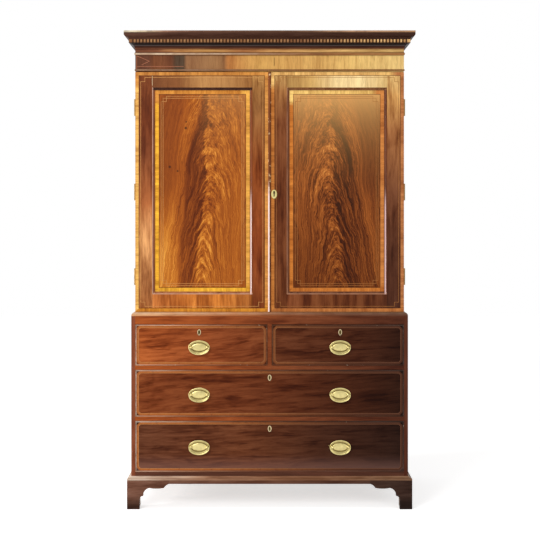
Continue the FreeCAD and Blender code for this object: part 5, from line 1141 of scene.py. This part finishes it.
# ---- Finishes of the press ----
# The pale middle of the left head rail is partly painted sheen
left_frame = door_frame(
    "left_door_mahogany", -1,
    hinge_stile=colours((0.0, 150, 86, 42), (0.12, 172, 112, 66), (0.3, 204, 142, 88),
                        (0.45, 160, 90, 48), (0.65, 106, 52, 26), (0.8, 106, 50, 22), (1.0, 116, 60, 28)),
    meeting_stile=colours((0.0, 116, 56, 24), (0.3, 126, 58, 24), (0.6, 132, 66, 28),
                          (0.85, 134, 86, 46), (0.97, 156, 108, 58), (1.0, 174, 126, 70)),
    head_rail=(paint(146, 96, 50), paint(168, 118, 68), paint(176, 126, 74), paint(128, 78, 42),
               paint(104, 58, 30)),
    foot_rail=(paint(150, 84, 36), paint(190, 110, 44), paint(184, 104, 42), paint(176, 100, 48)), crack=0.7)
# The right door's pale upper stiles and head rail are painted glare over the wood's tone
right_frame = door_frame(
    "right_door_mahogany", 1,
    hinge_stile=colours((0.0, 70, 36, 22), (0.25, 78, 42, 26), (0.5, 108, 62, 38), (0.75, 150, 94, 54),
                        (0.9, 192, 138, 78), (1.0, 228, 190, 122)),
    meeting_stile=colours((0.0, 106, 56, 28), (0.45, 104, 54, 28), (0.8, 118, 66, 36),
                          (0.92, 150, 98, 54), (1.0, 190, 148, 88)),
    head_rail=(paint(158, 118, 66), paint(196, 154, 90), paint(232, 202, 144), paint(234, 204, 146),
               paint(216, 180, 116)),
    foot_rail=(paint(112, 58, 30), paint(104, 54, 26), paint(98, 50, 24), paint(84, 42, 22)))
left_flame = flame(
    "left_flame_mahogany", -1, heart=0.31, plume=0.16, foot_light=0.27, glow=0.24,
    tones=colours((0.0, 82, 34, 12), (0.25, 114, 53, 19), (0.45, 148, 76, 25), (0.6, 172, 96, 32),
                  (0.8, 206, 130, 48), (1.0, 226, 160, 72)),
    wash=((0.0, (1.0, 0.99, 0.95, 1)), (0.5, (0.98, 0.96, 0.95, 1)), (1.0, (0.94, 0.92, 0.95, 1))),
    knots=((-0.378, 1.745, 0.005), (-0.380, 1.717, 0.008), (-0.453, 1.541, 0.008), (-0.417, 1.522, 0.006)))
# glow with whole_top: painted glare across the whole head of the panel
right_flame = flame(
    "right_flame_mahogany", 1, heart=0.22, plume=0.02, foot_light=0.06, glow=0.8, bold=1.3,
    whole_top=True,
    tones=colours((0.0, 50, 22, 10), (0.25, 78, 35, 14), (0.45, 116, 58, 23), (0.6, 146, 78, 31),
                  (0.8, 176, 101, 42), (1.0, 206, 136, 66)),
    wash=((0.0, (0.60, 0.54, 0.50, 1)), (0.5, (1.0, 1.0, 1.0, 1)), (1.0, (1, 1, 1, 1))))
DOOR = (DOOR_LOW, DOOR_HIGH)
SIGHT = (SIGHT_LOW, SIGHT_HIGH)
# Each band: the frame it goes round, how dark its joints are, and the tones of its foot, right, head and left
# The right door's pale head tones are painted glare
BANDS = {name: crossbanding(f"{name}_crossbanding", *band, tones) for name, *band, tones in (
    ("left_outer", DOOR, 0.6, ((196, 126, 40), (196, 132, 64), (184, 120, 54), (216, 162, 84))),
    ("left_panel", SIGHT, 0.25, ((224, 164, 50), (214, 152, 66), (198, 128, 52), (228, 164, 48))),
    ("right_outer", DOOR, 0.6, ((178, 108, 54), (172, 108, 62), (212, 164, 96), (178, 108, 48))),
    ("right_panel", SIGHT, 0.25, ((190, 112, 46), (190, 118, 58), (226, 182, 104), (188, 110, 44))),
)}
# Each line: its light and dark parts, where it is worn, and its tone at the right end if that differs
STRINGS = {name: stringing(name, *(paint(*tone) for tone in tones)) for name, *tones in (
    ("boxwood_string", (210, 156, 92), (172, 118, 62), (120, 70, 36)),
    ("browned_string", (172, 114, 60), (136, 84, 42), (96, 52, 28)),
    ("faded_string", (176, 112, 82), (150, 92, 66), (112, 64, 44)),
    ("dyed_line", (96, 52, 26), (58, 30, 16), (120, 70, 38)),
    # The drawer lines' darker tones at the right end are partly painted shade
    ("drawer_string", (206, 148, 90), (158, 100, 56), (124, 68, 38), (112, 72, 50)),
    ("drawer_crossbanding", (182, 108, 52), (152, 82, 40), (128, 66, 34), (74, 42, 28)),
    ("keyhole_shadow", (16, 11, 8), (9, 6, 5), (22, 14, 10)),
)}
handle_brass = cast_brass("handle_brass", (212, 196, 134), (96, 78, 34))
thread_brass = cast_brass("thread_brass", (232, 210, 166), (150, 120, 80), face=0.0)
escutcheon_brass = cast_brass("escutcheon_brass", (216, 202, 136), (120, 98, 46), face=0.0)
dull_brass = cast_brass("hinge_brass", (188, 160, 108), (120, 92, 52), roughness=0.4)

FINISHES = {
    "cornice_crown": crown_mahogany("crown_mahogany"),
    "cornice_dentils": dentil_mahogany("dentil_mahogany"),
    "cornice_cove": cove_mahogany("cove_mahogany"),
    "frieze_beads": mahogany(
        "bead_mahogany", "x", *colours((0.0, 120, 76, 50), (0.12, 124, 76, 46), (0.4, 134, 84, 46),
                                       (1.0, 160, 108, 60)), bold=0.25, seed=8.0,
        # dusk here is painted shade on the bottom bead, for the shadow line above the doors; wear_and_sheen
        # gives the beads' noses a pale line, partly from use and partly a painted highlight
        dusk=(FRIEZE_BOTTOM + 10 * MM, FRIEZE_BOTTOM + 30 * MM, 0.62),
        wear_and_sheen=("out", -BEADS_LOW.y - 1.6 * MM, -BEADS_LOW.y - 0.6 * MM, 0.9, 0.05)),
    "frieze_boards": frieze_mahogany("frieze_mahogany"),
    "case_sides": mahogany("case_side_mahogany", "z", PLAIN_MAHOGANY, seed=1.0),
    # From here to the feet the tones fall from left to right partly as painted light, lit at the left and
    # shaded at the right, and partly as the wood's own tone; the plinth's pale left end is a painted
    # highlight
    "base_sides": mahogany("base_side_mahogany", "z", paint(126, 66, 42), paint(84, 42, 26), seed=6.0),
    "drawer_rails": mahogany(
        "rail_mahogany", "x", *colours((0.0, 158, 78, 32), (0.3, 140, 68, 30), (0.6, 110, 56, 30),
                                       (1.0, 76, 38, 23)), bold=0.5, seed=7.0),
    # wear_and_sheen here: a pale top edge, partly from use and partly a painted highlight
    "waist_moulding": mahogany(
        "waist_mahogany", "x", *colours((0.0, 198, 142, 98), (0.35, 166, 100, 58), (0.55, 124, 68, 38),
                                        (0.8, 86, 48, 31), (1.0, 84, 50, 36)), seed=9.0,
        wear_and_sheen=("up", WAIST_TOP - 12 * MM, WAIST_TOP - 6 * MM, 0.5, 0.1)),
    "plinth_moulding": mahogany(
        "plinth_mahogany", "x", *colours((0.0, 196, 172, 152), (0.25, 158, 118, 92), (0.5, 132, 90, 64),
                                         (1.0, 124, 90, 66)), seed=10.0),
    "plinth_frame": mahogany(
        "apron_mahogany", "x", paint(108, 74, 58), paint(96, 60, 44), paint(60, 38, 28), seed=11.0),
    "bracket_feet": mahogany(
        "foot_mahogany", "x", paint(112, 74, 58), paint(72, 46, 34), paint(54, 34, 26), seed=12.0, bold=0.6,
        dusk=(15 * MM, 75 * MM, 0.38)),
    "left_door_frame": left_frame,
    "right_door_frame": right_frame,
    "left_door_panel": left_flame,
    "right_door_panel": right_flame,
    # The left door's dark head is painted shadow and its light foot painted light; the right door's lighter
    # head is painted glare
    "left_door_moulding": panel_moulding(
        "left_door_moulding", ((120, 64, 34), (112, 56, 26), (58, 28, 14), (150, 92, 56)),
        arris=(206, 164, 140), gleam=(240, 212, 204), seed=13.0),
    "right_door_moulding": panel_moulding(
        "right_door_moulding", ((104, 56, 28), (96, 50, 26), (120, 76, 42), (104, 62, 40)),
        arris=(178, 128, 98), gleam=(220, 186, 184), seed=14.0),
    "closing_bead": mahogany(
        "closing_bead_mahogany", "z", paint(112, 60, 30), seed=15.0, chips=0.75,
        # gleam: an upright painted highlight along the bead's left edge, on its lower part
        gleam=(CLOSING_LOW.x + 2.5 * MM, 5 * MM, BEAD_HIGHLIGHT_TOP)),
    "right_door_lock": escutcheon_brass,
}
# The fall from lighter at the left to near black at the right is partly painted light and partly the wood's
# own tone
DRAWER_TONES = {
    "left_short": colours((0.0, 168, 86, 40), (0.25, 140, 70, 35), (0.5, 108, 54, 28)),
    "right_short": colours((0.5, 100, 52, 29), (0.7, 82, 42, 24), (1.0, 38, 17, 9)),
    "middle": colours((0.0, 124, 62, 30), (0.4, 108, 54, 28), (0.7, 74, 36, 19), (1.0, 36, 16, 8)),
    "bottom": colours((0.0, 96, 54, 34), (0.4, 100, 54, 31), (0.7, 64, 34, 21), (1.0, 34, 17, 11)),
}
DRAWER_SLOPES = {"left_short": 0.10, "right_short": 0.04, "middle": 0.07, "bottom": 0.03}
for number, drawer in enumerate(DRAWERS):
    FINISHES[f"{drawer}_drawer_front"] = drawer_mahogany(
        f"{drawer}_drawer_mahogany", drawer, DRAWER_TONES[drawer], DRAWER_SLOPES[drawer], 2.0 + number,
        dusty=0.45 if drawer == "bottom" else 0.0)
PINE = (paint(186, 140, 88), paint(120, 80, 46), 1.0)  # light, dark and seed
pine_x = plain_wood("pine_lying", "x", *PINE)
pine_z = plain_wood("pine_upright", "z", paint(178, 134, 84), paint(112, 74, 44), 2.0)
pine_faced = plain_wood("pine_with_faced_edge", "x", *PINE, front=(DRAWER_FACE + 4 * MM, paint(84, 48, 34)))
oak_x = plain_wood("oak_lying", "x", paint(168, 126, 78), paint(110, 76, 44), 3.0)
oak_y = plain_wood("oak_deep", "y", paint(172, 130, 82), paint(112, 78, 46), 4.0)
for finish, names in (
        (dull_brass, ("case_hinges", "right_door_hinges", "left_door_brasses", "left_door_foot_bolt",
                      "left_door_head_bolt", "right_door_bolt")),
        (dull_brass, (f"{drawer}_drawer_bolt" for drawer in DRAWERS)),
        (pine_x, ("drawer_runners", "dust_boards", "case_boards")),
        (pine_z, ("foot_blocks", "base_back", "case_back")),
        (pine_faced, ("base_boards",)),
        (oak_x, ("first_tray", "second_tray", "third_tray", "fourth_tray")),
        (oak_y, ("tray_runners", *(f"{drawer}_drawer_box" for drawer in DRAWERS))),
):
    FINISHES.update(dict.fromkeys(names, finish))
for name, finish in FINISHES.items():
    for holder in frame["nodes"][name].material_slots:
        holder.material = finish

# ---- Pieces of the press ----
for side, string in (("left", "boxwood_string"), ("right", "browned_string")):
    door_inlay(f"{side}_door", BANDS[f"{side}_outer"], BANDS[f"{side}_panel"], STRINGS[string],
               STRINGS["dyed_line"])
frieze_inlay(STRINGS["faded_string"])
for drawer in DRAWERS:
    drawer_inlay(drawer, STRINGS["drawer_crossbanding"], STRINGS["drawer_string"])
    drawer_brasses(drawer, handle_brass, thread_brass, STRINGS["keyhole_shadow"])
    for bail in BAILS[drawer]:
        bail_piece(bail, handle_brass)
door_key = Form()
keyhole(door_key, *DOOR_KEY_AT, LOCK_LOW.y, DOOR_KEY_SCALE)
door_key.finish("right_door_keyhole", "right_door", STRINGS["keyhole_shadow"], "mahogany_right_door")
screw_nodes = screw_tree()
hinge_screws(screw_nodes, dull_brass)
lock_screws(screw_nodes, dull_brass)

# ---- Floor, light and camera ----
WHITE = (1, 1, 1, 1)
PAPER = (0.8, 0.8, 0.8, 1)
PAPER_GLOW = 0.62
SKY_LIGHT = 0.45
FLOOR_HALF = 9
CAMERA_AWAY = 4.6
CAMERA_HIGH = 1.3


def looked_at(tree):
    """1 where the eye, a mirror or glass looks, 0 for the light that falls on things."""
    ray = node(tree, "ShaderNodeLightPath").outputs
    seen = ray["Is Camera Ray"]
    for other in ("Is Glossy Ray", "Is Transmission Ray"):
        seen = node(tree, "ShaderNodeMath", {0: seen, 1: ray[other]}, operation="MAXIMUM").outputs[0]
    return seen


def studio_world():
    """White to the eye, and a dim even light on the press."""
    world = bpy.data.worlds.new("studio")
    bpy.context.scene.world = world
    world.use_nodes = True
    tree = world.node_tree
    tree.nodes.clear()
    dim, white = (node(tree, "ShaderNodeBackground", {"Color": WHITE, "Strength": strength}).outputs[0]
                  for strength in (SKY_LIGHT, 1.0))
    mixed = node(tree, "ShaderNodeMixShader", {0: looked_at(tree), 1: dim, 2: white})
    node(tree, "ShaderNodeOutputWorld", {0: mixed.outputs[0]})


def studio_floor():
    """A floor of pale paper that looks white and still takes the press's shadow."""
    mesh = bpy.data.meshes.new("studio_floor")
    corners = [(x * FLOOR_HALF, y * FLOOR_HALF, 0) for x, y in ((-1, -1), (1, -1), (1, 1), (-1, 1))]
    mesh.from_pydata(corners, [], [(0, 1, 2, 3)])
    paper = bpy.data.materials.new("studio_paper")
    paper.use_nodes = True
    tree = paper.node_tree
    glow = node(tree, "ShaderNodeMath", {0: looked_at(tree), 1: PAPER_GLOW}, operation="MULTIPLY").outputs[0]
    surface = tree.nodes["Principled BSDF"].inputs
    for name, content in (("Base Color", PAPER), ("Roughness", 0.9), ("Specular IOR Level", 0.1),
                          ("Emission Color", WHITE), ("Emission Strength", glow)):
        feed(tree, surface[name], content)
    mesh.materials.append(paper)
    floor = shown("studio_floor", mesh)


def softbox(name, place, aim, wide, high, power):
    """A rectangular lamp, turned to what it aims at."""
    lamp = bpy.data.lights.new(name, "AREA")
    lamp.shape = "RECTANGLE"
    lamp.size = wide
    lamp.size_y = high
    lamp.energy = power
    holder = shown(name, lamp)
    holder.location = place
    holder.rotation_euler = (Vector(aim) - Vector(place)).to_track_quat("-Z", "Y").to_euler()


def studio_camera():
    """A long lens straight in front of the drawers."""
    camera = bpy.data.cameras.new("camera")
    camera.lens = 68
    camera.sensor_width = 36
    camera.shift_x = 0.0007
    camera.shift_y = -0.0925
    eye = shown("camera", camera)
    eye.location = (0, DRAWER_FACE - CAMERA_AWAY, CAMERA_HIGH)
    eye.rotation_euler = (math.pi / 2, 0, 0)
    bpy.context.scene.camera = eye


studio_world()
studio_floor()
softbox("key_light", (-2.6, -4.2, 3.0), (0, 0, 1.2), 2.2, 2.2, 130)
softbox("fill_light", (3.0, -4.0, 1.6), (0, 0, 1.0), 2.0, 2.0, 32)
softbox("side_strip", (-3.0, -0.5, 1.1), (0, -0.25, 1.1), 0.14, 0.75, 46)
softbox("top_strip", (-0.35, -0.95, 3.5), (-0.2, -0.25, 1.0), 1.5, 0.12, 12)
studio_camera()
bpy.context.scene.view_settings.view_transform = "Standard"
